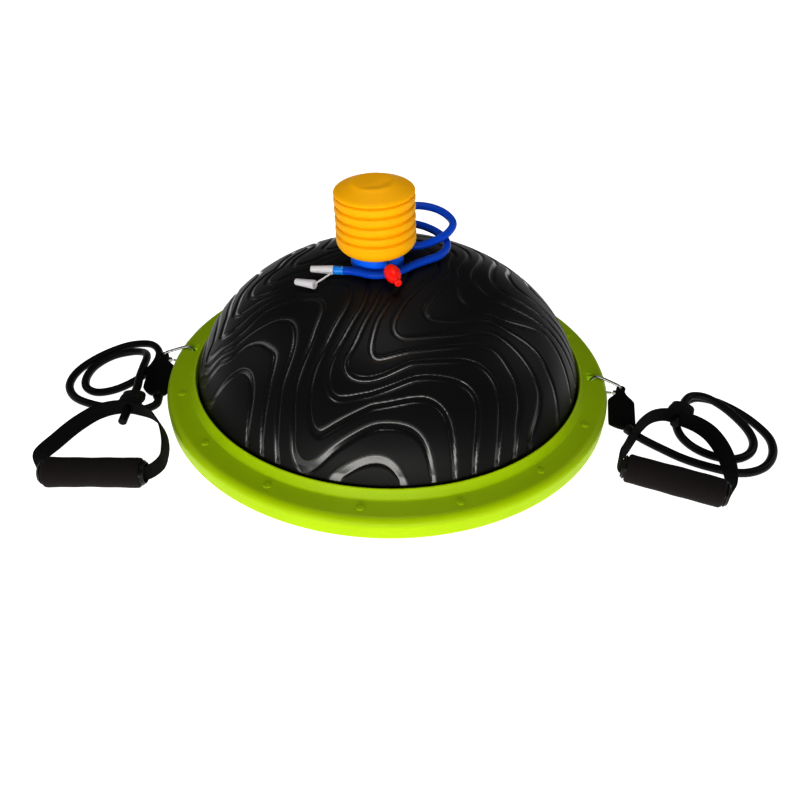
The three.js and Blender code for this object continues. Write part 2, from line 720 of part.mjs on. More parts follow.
const bellowsOuter = foldLine(0);
const bellowsInner = foldLine(BELLOWS_WALL).reverse();
const collar = COLLAR_RADIUS + GAP;
const bellows = turned(
  [
    [collar, BELLOWS_BOTTOM],
    [BELLOWS_RADIUS - 8, BELLOWS_BOTTOM],
    ...bellowsOuter,
    ...bellowsInner,
    [BELLOWS_RADIUS - 9, BELLOWS_BOTTOM + BELLOWS_WALL],
    [collar, BELLOWS_BOTTOM + BELLOWS_WALL],
  ],
  PUMP_SIDES,
);
place("bellows", bellows, YELLOW, pump);

// Pressing cap: a shouldered lid with a raised tread.
const capBottom = BELLOWS_TOP + GAP;
const TREAD_RADIUS = 24;
const cap = turned(
  [
    [0, capBottom],
    [BELLOWS_RADIUS - 1, capBottom],
    [BELLOWS_RADIUS, capBottom + 1.5],
    [BELLOWS_RADIUS - 1.5, capBottom + 4],
    [TREAD_RADIUS + 8, capBottom + 9],
    [TREAD_RADIUS, capBottom + 10.5],
    [TREAD_RADIUS - 2, capBottom + 14],
    [0, capBottom + 14.5],
  ],
  PUMP_SIDES,
);
place("pressing_cap", cap, YELLOW, pump);

// Return spring between the base's floor and the cap.
const SPRING_RADIUS = 17;
const SPRING_WIRE = 1.8;
const SPRING_TURNS = 4;
const springBottom = FLOOR + 3;
const springTop = capBottom - SPRING_WIRE;

class Helix extends THREE.Curve {
  getPoint(t, target = vec(0, 0, 0)) {
    const angle = 2 * Math.PI * SPRING_TURNS * t;
    const rise = springBottom + (springTop - springBottom) * t;
    return target.set(SPRING_RADIUS * Math.cos(angle), SPRING_RADIUS * Math.sin(angle), rise);
  }
}
place("return_spring", swept(new Helix(), SPRING_WIRE / 2, 5, 40), STEEL, pump);

// Red stopper on the side port: an egg-shaped body with a small pull tip.
const stopperStart = redStart.clone().addScaledVector(RED_DIRECTION, RED_PORT_LENGTH + GAP);
const stopper = turned(
  [
    [0, 0], [4.5, 0], [7.5, 4], [8.8, 9], [7.6, 14], [5, 18], [3.6, 19],
    [3.6, 24], [2.4, 25.5], [0, 25.5],
  ],
  16,
);
place("port_stopper", along(stopper, stopperStart, RED_DIRECTION), RED, pump);

// Hose, from the outlet behind the base, twice round behind the pump and past its front to the nozzle.
const outletEnd = pump.localToWorld(outletStart.clone().addScaledVector(outletOut, OUTLET_LENGTH + GAP));
const HOSE_END = [-51, -51, 190.2];
const HOSE = [
  [-14, 32, 206.5], [-13, 50, 211], [-2, 74, 217], [20, 89, 220.5],
  [46, 86, 220.5], [66, 72, 217.5], [75, 54, 213], [68, 36, 207], [52, 21, 202.5], [36, 12, 199.5],
  [20, 13, 197.4], [-4, 25, 196], [-30, 38, 194.5], [-46, 58, 192], [-42, 80, 192], [-20, 92, 193],
  [8, 92, 195], [33, 81, 197], [54, 63, 197], [67, 42, 196], [69, 20, 194], [61, 2, 192.3],
  [46, -14, 192.6], [31, -30, 192.9], [14, -47.5, 192], [-12, -58.8, 191], [-31, -54.6, 191],
  [-42, -51.6, 190.7], HOSE_END,
];
const hosePoints = [[outletEnd.x, outletEnd.y, outletEnd.z], ...HOSE];
place("pump_hose", swept(spline(hosePoints), HOSE_RADIUS, 8, 48), HOSE_BLUE);

// Connector and tethered nozzles at the hose's end
const NOZZLE_AXIS = vec(-1, 0.06, -0.05).normalize();
const hoseEnd = vec(...HOSE_END);
const CONNECTOR_LENGTH = 12;
const connectorProfile = [
  [1.8, 0], [5.2, 0], [5.2, 9], [4.9, CONNECTOR_LENGTH], [1.8, CONNECTOR_LENGTH],
];
const connector = turned(connectorProfile, 14);
const connectorStart = hoseEnd.clone().addScaledVector(NOZZLE_AXIS, GAP);
place("hose_connector", along(connector, connectorStart, NOZZLE_AXIS), CYAN);

const nozzleShape = () => turned([[1.5, 0], [5, 0], [5, 3], [4.6, 4], [3.2, 27], [1.5, 27]], 14);
const nozzleStart = connectorStart.clone().addScaledVector(NOZZLE_AXIS, CONNECTOR_LENGTH + GAP);
place("nozzle_fitted", along(nozzleShape(), nozzleStart, NOZZLE_AXIS), GREY);

const SPARE_START = vec(-82, -74, 181);
const SPARE_AXIS = vec(-27, 12, -4).normalize();
place("nozzle_spare", along(nozzleShape(), SPARE_START, SPARE_AXIS), GREY);

// The tether is a thin strip from one nozzle's collar to the other's.
const TETHER_RADIUS = 1.2;
const tetherTop = nozzleStart.clone().addScaledVector(NOZZLE_AXIS, 1.5).add(vec(0, -5.9, -1));
const tetherFoot = SPARE_START.clone().addScaledVector(SPARE_AXIS, -1.2).add(vec(0, 0, 2));
const tetherSag = tetherTop.clone().lerp(tetherFoot, 0.5).add(vec(1.5, -3, 1));
const tetherCurve = new THREE.CatmullRomCurve3([tetherTop, tetherSag, tetherFoot]);
place("nozzle_tether", swept(tetherCurve, TETHER_RADIUS, 6, 6), GREY);

export default root;
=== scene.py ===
import math

import bmesh
import bpy
import numpy as np
from mathutils import Matrix, Vector


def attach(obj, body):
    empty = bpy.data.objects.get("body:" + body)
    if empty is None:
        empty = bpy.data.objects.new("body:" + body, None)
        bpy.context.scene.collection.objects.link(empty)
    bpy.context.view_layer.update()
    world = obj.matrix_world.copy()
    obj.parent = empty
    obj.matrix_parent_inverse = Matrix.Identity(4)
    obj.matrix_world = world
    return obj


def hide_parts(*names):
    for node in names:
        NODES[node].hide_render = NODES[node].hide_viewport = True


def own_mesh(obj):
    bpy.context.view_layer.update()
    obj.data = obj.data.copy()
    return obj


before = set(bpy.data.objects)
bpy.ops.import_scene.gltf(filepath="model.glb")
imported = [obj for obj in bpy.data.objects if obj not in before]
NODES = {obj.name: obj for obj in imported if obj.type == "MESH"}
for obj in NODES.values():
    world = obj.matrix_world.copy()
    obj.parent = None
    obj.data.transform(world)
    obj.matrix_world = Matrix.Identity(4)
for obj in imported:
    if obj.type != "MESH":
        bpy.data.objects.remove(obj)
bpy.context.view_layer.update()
MM = 0.001
GAP = 0.3  # between pieces that touch, in millimetres

# ---- Camera ----
CAMERA_PLACE = Vector((0.0802, -0.7853, 0.5636))
CAMERA_TARGET = Vector((0.0210, -0.0491, 0.0))
CAMERA_ROLL = math.radians(1.61)

camera = bpy.data.objects.new("camera", bpy.data.cameras.new("camera"))
camera.data.lens = 30.6
camera.data.sensor_width = 36
camera.data.clip_start = 0.02
looking = (CAMERA_TARGET - CAMERA_PLACE).to_track_quat("-Z", "Y")
camera.matrix_world = (
    Matrix.Translation(CAMERA_PLACE)
    @ looking.to_matrix().to_4x4()
    @ Matrix.Rotation(CAMERA_ROLL, 4, "Z")
)
bpy.context.collection.objects.link(camera)
bpy.context.scene.camera = camera


# ---- Shape helpers ----
def catmull(points, per_span=8, closed=False):
    """A smooth line through the points. Extra columns, such as a lean, are carried along."""
    P = np.array(points, float)
    n = len(P)
    line = []
    for i in range(n if closed else n - 1):
        p1, p2 = P[i], P[(i + 1) % n]
        p0 = P[i - 1] if closed or i > 0 else 2 * p1 - p2
        p3 = P[(i + 2) % n] if closed or i + 2 < n else 2 * p2 - p1
        d = [max(np.linalg.norm((b - a)[:3]), 1e-9) ** 0.5 for a, b in ((p0, p1), (p1, p2), (p2, p3))]
        t1 = ((p1 - p0) / d[0] - (p2 - p0) / (d[0] + d[1]) + (p2 - p1) / d[1]) * d[1]
        t2 = ((p2 - p1) / d[1] - (p3 - p1) / (d[1] + d[2]) + (p3 - p2) / d[2]) * d[1]
        for k in range(per_span):
            t = k / per_span
            bend = 3 * (p2 - p1) - 2 * t1 - t2
            twist = 2 * (p1 - p2) + t1 + t2
            line.append(p1 + t1 * t + bend * t**2 + twist * t**3)
    if not closed:
        line.append(P[-1])
    return np.array(line)


def unit(v):
    """A direction, or each of several, at length 1."""
    return np.asarray(v, float) / np.linalg.norm(v, axis=-1, keepdims=True)


def distances(path):
    """How far along the path each of its points is."""
    return np.concatenate([[0], np.cumsum(np.linalg.norm(np.diff(path, axis=0), axis=1))])


def ease(t):
    return t * t * (3 - 2 * t)


def arc(x, y, radius, start, end, steps):
    """Points of a circle round (x, y), from one angle to another, in degrees."""
    angles = np.radians(np.linspace(start, end, steps + 1))
    return [(x + radius * math.cos(a), y + radius * math.sin(a)) for a in angles]


def solid(name, verts, faces, attributes=None):
    """A smooth mesh from points in millimetres, its faces turned outward."""
    mesh = bpy.data.meshes.new(name)
    mesh.from_pydata((np.asarray(verts, float) * MM).tolist(), [], faces)
    for key, values in (attributes or {}).items():
        mesh.attributes.new(key, "FLOAT", "POINT").data.foreach_set("value", np.asarray(values, np.float32))
    bm = bmesh.new()
    bm.from_mesh(mesh)
    bmesh.ops.recalc_face_normals(bm, faces=bm.faces)
    bm.to_mesh(mesh)
    bm.free()
    mesh.polygons.foreach_set("use_smooth", [True] * len(mesh.polygons))
    return mesh


def placed(name, data):
    """An object that holds the data, in the scene."""
    made = bpy.data.objects.new(name, data)
    bpy.context.collection.objects.link(made)
    return made


def finish(piece, look, body, node):
    """Gives a piece its look and its body. node is the CAD node it stands for, if there is one."""
    piece.data.materials.append(look.material)
    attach(piece, body)
    if node:
        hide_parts(node)
    return piece


def finish_mesh(name, verts, faces, look, body, node=None, attributes=None):
    return finish(placed(name, solid(name, verts, faces, attributes)), look, body, node)


def turn_to(points, origin, axis):
    """Points made round +Z, turned so that +Z runs along axis, and moved to origin."""
    turn = Vector((0, 0, 1)).rotation_difference(Vector(axis).normalized()).to_matrix()
    return np.asarray(points, float) @ np.array(turn).T + np.array(origin, float)


def lathe(profile, steps, closed):
    """Points and faces of a solid of revolution about +Z. A closed profile makes a ring."""
    verts, rings = [], []
    for radius, height in profile:
        if radius < 1e-6:
            rings.append([len(verts)] * steps)
            verts.append((0, 0, height))
            continue
        rings.append(list(range(len(verts), len(verts) + steps)))
        for k in range(steps):
            angle = 2 * math.pi * k / steps
            verts.append((radius * math.cos(angle), radius * math.sin(angle), height))
    faces = []
    pairs = list(zip(rings, rings[1:])) + ([(rings[-1], rings[0])] if closed else [])
    for low, high in pairs:
        for k in range(steps):
            m = (k + 1) % steps
            face = [low[k], low[m], high[m], high[k]]
            face = [v for j, v in enumerate(face) if v not in face[:j]]
            if len(face) > 2:
                faces.append(face)
    return np.array(verts, float), faces


def tube_wall(inner, outer, low, high):
    """The profile of a plain ring or sleeve, or of a disc where inner is 0."""
    return [(inner, low), (outer, low), (outer, high), (inner, high)]


def rounded(profile, radius=0.6, steps=3, closed=True):
    """A profile with its corners rounded off."""
    P = [np.array(p, float) for p in profile]
    out = []
    for i, p in enumerate(P):
        if (not closed and i in (0, len(P) - 1)) or p[0] < 1e-6:
            out.append(p)
            continue
        a, b = P[i - 1], P[(i + 1) % len(P)]
        la, lb = np.linalg.norm(a - p), np.linalg.norm(b - p)
        cut = min(radius, 0.45 * la, 0.45 * lb)
        start, end = p + (a - p) / la * cut, p + (b - p) / lb * cut
        for k in range(steps + 1):
            t = k / steps
            out.append((1 - t) ** 2 * start + 2 * t * (1 - t) * p + t**2 * end)
    return out


def frames(path, up=None, closed=False):
    """Side and up directions along a path. Without up, the side is carried along untwisted."""
    ahead = np.roll(path, -1, 0) - np.roll(path, 1, 0)
    if not closed:
        ahead[0], ahead[-1] = path[1] - path[0], path[-1] - path[-2]
    T = unit(ahead)
    if up is not None:
        side = unit(np.cross(T, up))
    else:
        side = np.zeros_like(T)
        side[0] = unit(np.cross(T[0], (0, 0, 1) if abs(T[0][2]) < 0.9 else (1, 0, 0)))
        for i in range(1, len(T)):
            side[i] = unit(side[i - 1] - T[i] * (side[i - 1] @ T[i]))
    return side, np.cross(side, T)


def sweep(path, sections, side, up, closed=False):
    """A body through sections of (side, up) points, one at each path point."""
    n, m = len(path), len(sections[0])
    side, up = np.broadcast_to(side, (n, 3)), np.broadcast_to(up, (n, 3))
    rings = []
    for place, section, s, u in zip(path, sections, side, up):
        rings.append(place + np.outer(section[:, 0], s) + np.outer(section[:, 1], u))
    verts = np.concatenate(rings)
    faces = []
    for i in range(n if closed else n - 1):
        a, b = i * m, ((i + 1) % n) * m
        for k in range(m):
            faces.append([a + k, a + (k + 1) % m, b + (k + 1) % m, b + k])
    if not closed:
        faces += [list(range(m)), list(range((n - 1) * m, n * m))]
    return verts, faces


def oval(half_side, half_up, sides=16, power=1.0):
    """A section: an ellipse, squarer as power falls under 1."""
    a = 2 * math.pi * np.arange(sides) / sides
    c, s = np.cos(a), np.sin(a)
    return np.stack([half_side * np.sign(c) * abs(c) ** power, half_up * np.sign(s) * abs(s) ** power], 1)


def joined(parts):
    """Several (points, faces) as one."""
    verts, faces, start = [], [], 0
    for v, f in parts:
        verts.append(v)
        faces += [[i + start for i in face] for face in f]
        start += len(v)
    return np.concatenate(verts), faces


def rod(path, radius, sides=16, close=1.2):
    """A round rod along a path, with ends rounded off over the length close."""
    side, up = frames(path)
    lengths = distances(path)
    sections = []
    for length in lengths:
        edge = min(length, lengths[-1] - length)
        r = radius
        if edge < close:
            r *= math.sqrt(max(0.12, 1 - (1 - edge / close) ** 2))
        sections.append(oval(r, r, sides))
    return sweep(path, sections, side, up)


def cut_with(piece, verts, faces, operation):
    """An exact boolean of the piece with a helper body, applied to its mesh."""
    helper = placed("helper", solid("helper", verts, faces))
    mod = piece.modifiers.new("cut", "BOOLEAN")
    mod.object, mod.operation, mod.solver = helper, operation, "EXACT"
    bpy.context.view_layer.update()
    seen = piece.evaluated_get(bpy.context.evaluated_depsgraph_get())
    mesh = bpy.data.meshes.new_from_object(seen)
    mesh.polygons.foreach_set("use_smooth", [True] * len(mesh.polygons))
    piece.modifiers.clear()
    piece.data = mesh
    bpy.data.objects.remove(helper)


def crease(piece, degrees=35):
    """Marks edges sharper than the angle, so that shading breaks there."""
    bm = bmesh.new()
    bm.from_mesh(piece.data)
    for edge in bm.edges:
        edge.smooth = len(edge.link_faces) == 2 and edge.calc_face_angle(0) < math.radians(degrees)
    bm.to_mesh(piece.data)
    bm.free()


# ---- Materials ----
class Look:
    """A node material round one Principled shader, with a slot name kept on it. Colours are linear."""

    def __init__(self, name, colour, roughness, specular=0.5, **sockets):
        self.slot = name
        self.material = bpy.data.materials.new(name)
        self.material.use_nodes = True
        self.nodes, self.links = self.material.node_tree.nodes, self.material.node_tree.links
        self.shader = self.nodes["Principled BSDF"]
        self.shader.inputs["Base Color"].default_value = (*colour, 1)
        self.shader.inputs["Roughness"].default_value = roughness
        self.shader.inputs["Specular IOR Level"].default_value = specular
        for key, value in sockets.items():
            self.shader.inputs[key.replace("_", " ")].default_value = value
        self.normal = None
        self.place = self.nodes.new("ShaderNodeTexCoord").outputs["Object"]

    def node(self, kind, **values):
        made = self.nodes.new("ShaderNode" + kind)
        for key, value in values.items():
            if hasattr(made, key):
                setattr(made, key, value)
            else:
                made.inputs[key.replace("_", " ")].default_value = value
        return made

    def noise(self, scale, detail=3, stretch=None):
        made = self.node("TexNoise", Scale=scale, Detail=detail)
        source = self.place
        if stretch:
            mapping = self.node("Mapping")
            mapping.inputs["Scale"].default_value = stretch
            self.links.new(source, mapping.inputs["Vector"])
            source = mapping.outputs["Vector"]
        self.links.new(source, made.inputs["Vector"])
        return made.outputs["Fac"]

    def cells(self, scale):
        made = self.node("TexVoronoi", Scale=scale)
        self.links.new(self.place, made.inputs["Vector"])
        return made.outputs["Distance"]

    def attribute(self, name):
        return self.node("Attribute", attribute_name=name).outputs["Fac"]

    def math(self, operation, a, b=None):
        made = self.node("Math", operation=operation)
        for i, value in enumerate((a, b)):
            if value is None:
                continue
            if isinstance(value, (int, float)):
                made.inputs[i].default_value = value
            else:
                self.links.new(value, made.inputs[i])
        return made.outputs[0]

    def ramp(self, source, low, high, to_low=0.0, to_high=1.0):
        made = self.node("MapRange", interpolation_type="SMOOTHSTEP")
        self.links.new(source, made.inputs["Value"])
        for key, value in (("From Min", low), ("From Max", high), ("To Min", to_low), ("To Max", to_high)):
            made.inputs[key].default_value = value
        return made.outputs["Result"]

    def bump(self, height, distance, strength=1.0):
        made = self.node("Bump", Distance=distance, Strength=strength)
        self.links.new(height, made.inputs["Height"])
        if self.normal:
            self.links.new(self.normal, made.inputs["Normal"])
        self.normal = made.outputs["Normal"]
        self.links.new(self.normal, self.shader.inputs["Normal"])

    def tint(self, mask, colour):
        """Mixes a second colour in by a mask."""
        made = self.node("Mix", data_type="RGBA")
        socket = self.shader.inputs["Base Color"]
        if socket.links:
            self.links.new(socket.links[0].from_socket, made.inputs["A"])
        else:
            made.inputs["A"].default_value = socket.default_value
        made.inputs["B"].default_value = (*colour, 1)
        self.links.new(mask, made.inputs["Factor"])
        self.links.new(made.outputs["Result"], socket)

    def drive(self, socket, mask, low, high):
        """Sets a socket of the shader between two values by a mask."""
        self.links.new(self.ramp(mask, 0, 1, low, high), self.shader.inputs[socket])


GLOSS_SPREAD = 0.06


def moulded(name, colour, roughness, **sockets):
    """Moulded plastic or rubber: fine grain, a little unevenness in gloss and colour, faint scuffs."""
    look = Look(name, colour, roughness, **sockets)
    cloudy = look.noise(22, 4)
    look.drive("Roughness", cloudy, roughness - GLOSS_SPREAD, roughness + GLOSS_SPREAD)
    look.tint(look.ramp(cloudy, 0.35, 0.8, 0.0, 0.22), tuple(c * 0.8 for c in colour))
    scuffs = look.noise(60, 5, stretch=(1, 9, 4))
    look.tint(look.ramp(scuffs, 0.66, 0.8, 0.0, 0.12), tuple(min(1, c * 1.25 + 0.02) for c in colour))
    look.bump(look.noise(1400, 2), 0.00006, 0.5)
    look.bump(look.noise(35, 2), 0.0004, 0.12)
    return look


LIME = moulded("lime_plastic", (0.44, 0.64, 0.0), 0.4, specular=0.12)
CUP_BLUE = moulded("blue_plastic", (0.0, 0.16, 1.0), 0.36, specular=0.2)
HOSE_BLUE = moulded("hose_plastic", (0.0, 0.07, 0.58), 0.38, specular=0.15)
YELLOW = moulded("yellow_plastic", (0.96, 0.47, 0.0), 0.5, specular=0.1)
RED = moulded("red_plastic", (0.95, 0.012, 0.006), 0.34, specular=0.25)
GREY = moulded("grey_plastic", (0.68, 0.68, 0.71), 0.42)
CYAN = moulded("cyan_plastic", (0.006, 0.26, 0.85), 0.26, Subsurface_Weight=0.15)
BLACK_PLASTIC = moulded("black_plastic", (0.005, 0.005, 0.005), 0.32, specular=0.22)
BLACK_RUBBER = moulded("black_rubber", (0.009, 0.009, 0.0085), 0.6, specular=0.15)
TUBE_RUBBER = moulded("tube_rubber", (0.004, 0.0038, 0.004), 0.46, specular=0.14)
TUBE_RUBBER.slot = "band_rubber"

STEEL = Look("wire_steel", (0.42, 0.42, 0.43), 0.24, Metallic=1.0)
STEEL.drive("Roughness", STEEL.noise(300, 4, stretch=(1, 1, 5)), 0.14, 0.38)
STEEL.bump(STEEL.noise(500, 3), 0.00005, 0.5)
ZINC = Look("screw_steel", (0.5, 0.5, 0.49), 0.4, Metallic=1.0)
ZINC.drive("Roughness", ZINC.noise(260, 4), 0.3, 0.55)
ZINC.bump(ZINC.noise(900, 3), 0.00006, 0.5)

FOAM = Look("foam", (0.0085, 0.006, 0.0055), 0.92, 0.2, Sheen_Weight=0.03, Sheen_Roughness=0.6)
pores = FOAM.cells(900)
# Painted shade: the foam is darkened in its pores, where the bump sinks them.
FOAM.tint(FOAM.ramp(pores, 0.05, 0.35, 0.55, 0.0), (0.003, 0.002, 0.002))
FOAM.tint(FOAM.ramp(FOAM.noise(40, 4), 0.5, 0.8, 0.0, 0.3), (0.015, 0.011, 0.01))
FOAM.bump(pores, 0.0003, 0.7)
FOAM.bump(FOAM.noise(120, 3), 0.0006, 0.25)


def woven(name, colour):
    """Webbing: ribs and a herringbone of fine ridges, from how far along and across each point is."""
    look = Look(name, colour, 0.85, specular=0.1, Sheen_Weight=0.012, Sheen_Roughness=0.5)
    along, across = look.attribute("along"), look.attribute("across")
    stripe = look.math("FRACT", look.math("MULTIPLY", across, 0.25))
    slant = look.math("ABSOLUTE", look.math("SUBTRACT", stripe, 0.5))
    slanted = look.math("ADD", along, look.math("MULTIPLY", slant, 3.0))
    twill = look.math("SINE", look.math("MULTIPLY", slanted, 4.6))
    ribs = look.math("SINE", look.math("MULTIPLY", across, 5.5))
    weave = look.math("ADD", look.math("MULTIPLY", twill, 0.6), look.math("MULTIPLY", ribs, 0.4))
    look.bump(weave, 0.0004, 0.8)
    # Painted highlight: the raised threads of the weave are painted lighter.
    look.tint(look.ramp(weave, -0.2, 1.0, 0.0, 0.7), tuple(c * 2.6 for c in colour))
    look.tint(look.ramp(look.noise(70, 4), 0.55, 0.8, 0.0, 0.3), tuple(c * 1.6 for c in colour))
    return look


WEBBING = woven("webbing", (0.003, 0.0028, 0.0028))

# The dome's sheet: satin with a fine grain, polished in the channels of its relief, with painted shade
# darkening the channels' colour.
DOME = Look("dome_rubber", (0.0054, 0.005, 0.0054), 0.42, specular=0.14)
channel = DOME.attribute("channel")
channel_shade = DOME.ramp(channel, 2.7, 3.3, 1.0, 0.0)
polish = DOME.attribute("polish")
DOME.drive("Roughness", polish, 0.44, 0.2)
DOME.drive("Specular IOR Level", polish, 0.13, 0.75)
DOME.tint(DOME.ramp(DOME.noise(14, 4), 0.4, 0.75, 0.0, 0.35), (0.010, 0.0095, 0.010))
# Painted shade: the channels' colour is darkened where they sink into the relief.
DOME.tint(channel_shade, (0.002, 0.002, 0.002))
DOME.bump(DOME.noise(1100, 2), 0.00008, 0.4)
DOME.bump(DOME.ramp(channel, 2.2, 3.4), 0.0004, 0.4)

# ---- Cords: band tubes and pump hose ----
TUBE_RADIUS = 5.25
HOSE_RADIUS = 5.0
TUBE_ROUTES = {
    "right": [
        (324.6, -88.6, 6), (337, -100, 5.6), (355, -114, 5.6), (380, -131, 5.6), (410, -143, 5.6),
        (444, -149, 5.6), (473, -137, 5.6), (493, -111, 5.6), (500, -79, 5.6), (489, -46, 5.6),
        (468, -18, 5.6), (446, -3, 5.6), (426, -1, 5.6), (408, -14, 5.6), (394, -36, 5.6),
        (386, -62, 5.6), (387, -88, 5.6), (399, -109, 5.6), (420, -122, 5.6), (443, -124, 5.6),
        (463, -113, 5.6), (476, -91, 5.6), (477, -66, 6), (466, -42, 9.5), (450, -24, 14),
        (431, -14, 18), (413, -16, 19.5), (402, -28, 19.5), (396.4, -39.8, 19.5),
    ],
    "left": [
        (-298.9, -95, 6), (-298, -106, 5.6), (-307, -117, 5.6), (-323, -122, 5.6), (-350, -121, 5.6),
        (-380, -117, 5.6), (-410, -105, 5.6), (-430, -80, 5.6), (-434, -46, 5.6), (-418, -4, 5.6),
        (-388, 28, 5.6), (-360, 33, 5.6), (-341, 15, 5.6), (-335, -12, 5.6), (-338, -37, 5.6),
        (-349, -63, 5.6),
        (-366, -83, 5.6), (-386, -91, 5.6), (-404, -83, 5.6), (-415, -62, 5.6), (-416, -32, 5.6),
        (-402, -4, 5.6), (-378, 9, 6.5), (-358, 3, 11), (-344, -17, 18), (-338, -45, 19.5),
        (-333.5, -68, 19.5), (-327.7, -89, 19.5), (-325.5, -104, 19.5),
    ],
}
HOSE_ROUTE = [
    (-14.6, 16.9, 205.7), (-14, 32, 206.5), (-13, 50, 211), (-2, 74, 217), (20, 89, 220.5),
    (46, 86, 220.5), (66, 72, 217.5), (75, 54, 213), (68, 36, 207), (52, 21, 202.5), (36, 12, 199.5),
    (20, 13, 197.4), (-4, 25, 196), (-30, 38, 194.5), (-46, 58, 192), (-42, 80, 192), (-20, 92, 193),
    (8, 92, 195), (33, 81, 197), (54, 63, 197), (67, 42, 196), (69, 20, 194), (61, 2, 192.3),
    (46, -14, 192.6), (31, -30, 192.9), (14, -47.5, 192), (-12, -58.8, 191), (-31, -54.6, 191),
    (-42, -51.6, 190.7), (-51, -51, 190.2),
]


def cord_curve(name, route, radius, look, body, node):
    """A round cord: one open smooth spline with a bevel, and its length."""
    line = catmull(route, 6) * MM
    data = bpy.data.curves.new(name, "CURVE")
    data.dimensions = "3D"
    data.bevel_depth = radius * MM
    data.bevel_resolution = 7
    data.use_fill_caps = True
    spline = data.splines.new("POLY")
    spline.points.add(len(line) - 1)
    for point, place in zip(spline.points, line):
        point.co = (*place, 1)
    spline.use_smooth = True
    return finish(placed(name, data), look, body, node), float(distances(line)[-1])


for side, route in TUBE_ROUTES.items():
    tube, length = cord_curve(
        f"rubber_tube_{side}", route, TUBE_RADIUS, TUBE_RUBBER, f"band_{side}", f"band_tube_{side}"
    )

# ---- Air dome ----
DOME_RADIUS, DOME_RISE, DOME_CENTRE_Z = 261.4, 186.5, 3.2
WALL_RADIUS = 256.9
DOME_WALL = 3
FLANGE_FACES = (14.3, 17.3, 271)
CHANNEL_HALF = 3.0
CHANNEL_DEPTH = 1.4

# Heights of the contour relief, chosen where its lines bend: level: places seen from above
CONTOURS = {
    -7: [(-204, -152), (-138, -188)],
    -6: [(-226, -110), (-194, -124), (-158, -126), (-126, -140), (-120, -226), (-114, -154)],
    -5: [(-216, -112), (-178, -118), (-142, -110), (-102, -190), (-34, -254), (36, -248)],
    -4: [(-222, -94), (-216, -78), (-202, -102), (-166, -104), (-144, -88), (-116, -84), (-82, -222),
         (-80, -236), (-70, -132)],
    -3: [(-204, -82), (-204, -50), (-54, -152), (-52, -230), (-44, -66), (4, -212), (62, -198)],
    -2: [(-192, -56), (-192, 56), (-182, -68), (-160, -64), (-112, -52), (-22, -108), (2, -202),
         (118, -184), (120, -226)],
    -1: [(-152, 10), (-146, -52), (-114, -44), (-30, -172), (-22, -152), (42, -168), (98, -150)],
    0: [(-152, 0), (-120, -24), (-118, 66), (-96, -22), (0, -120), (4, -168), (134, -122), (150, -132),
        (168, -164)],
    1: [(-126, 2), (-126, 22), (-108, 70), (-76, 16), (32, -142), (184, -172), (192, -130), (-90, 190)],
    2: [(-80, 30), (56, -110), (68, -54), (70, 56), (80, -18), (80, 38), (82, -106), (130, -84),
        (202, -98), (-40, 170)],
    3: [(86, -40), (88, -12), (124, -76), (146, -72), (198, -48), (-30, 100)],
    4: [(120, -40), (120, 100), (146, -44), (192, -36), (-10, 130)],
    5: [(140, -16), (190, -16)],
    6: [(152, 44)],
    7: [(182, 64)],
}


def plate(distance2):
    """A thin plate's bending round a point, from the square of the distance."""
    return 0.5 * distance2 * np.log(distance2 + 1e-12)


def relief_field():
    """A smooth height field through the contour places: a thin plate bent to them."""
    places = np.array([(x, y) for spots in CONTOURS.values() for x, y in spots]) / 100
    levels = np.array([level for level, spots in CONTOURS.items() for _ in spots], float)
    n = len(places)
    system = np.zeros((n + 3, n + 3))
    gaps = ((places[:, None] - places[None]) ** 2).sum(-1)
    system[:n, :n] = plate(gaps) + 4e-3 * np.eye(n)
    system[:n, n] = system[n, :n] = 1
    system[:n, n + 1 :] = places
    system[n + 1 :, :n] = places.T
    weights = np.linalg.solve(system, np.concatenate([levels, np.zeros(3)]))

    def height(x, y):
        # Behind the pump the lines swing from side to side.
        swing = 24 * np.sin((y - 60) / 38) * np.clip((y - 60) / 70, 0, 1)
        q = np.stack([x + swing, y], -1) / 100
        total = weights[n] + q @ weights[n + 1 :]
        for place, weight in zip(places, weights):
            total = total + weight * plate(((q - place) ** 2).sum(-1))
        return total

    return height


relief = relief_field()


def channel_distance(x, y):
    """How far each place is from the middle of the nearest channel, seen from above."""
    h = relief(x, y)
    step = 0.5
    slope_x = (relief(x + step, y) - relief(x - step, y)) / (2 * step)
    slope_y = (relief(x, y + step) - relief(x, y - step)) / (2 * step)
    return np.abs(h - np.round(h)) / np.maximum(np.hypot(slope_x, slope_y), 0.012)


def dome_height(radius):
    return DOME_CENTRE_Z + DOME_RISE * np.sqrt(np.maximum(0, 1 - (radius / DOME_RADIUS) ** 2))


def dome_normal(x, y, z):
    """Which way the dome faces at a point of it, or at several."""
    return unit(np.stack([x / DOME_RADIUS**2, y / DOME_RADIUS**2, (z - DOME_CENTRE_Z) / DOME_RISE**2], -1))


RINGS = 200
UNDER_RELIEF = [(WALL_RADIUS - DOME_WALL, 42), (215, 103), (150, 148), (70, 176)]
UNDER_CROWN = 186.0


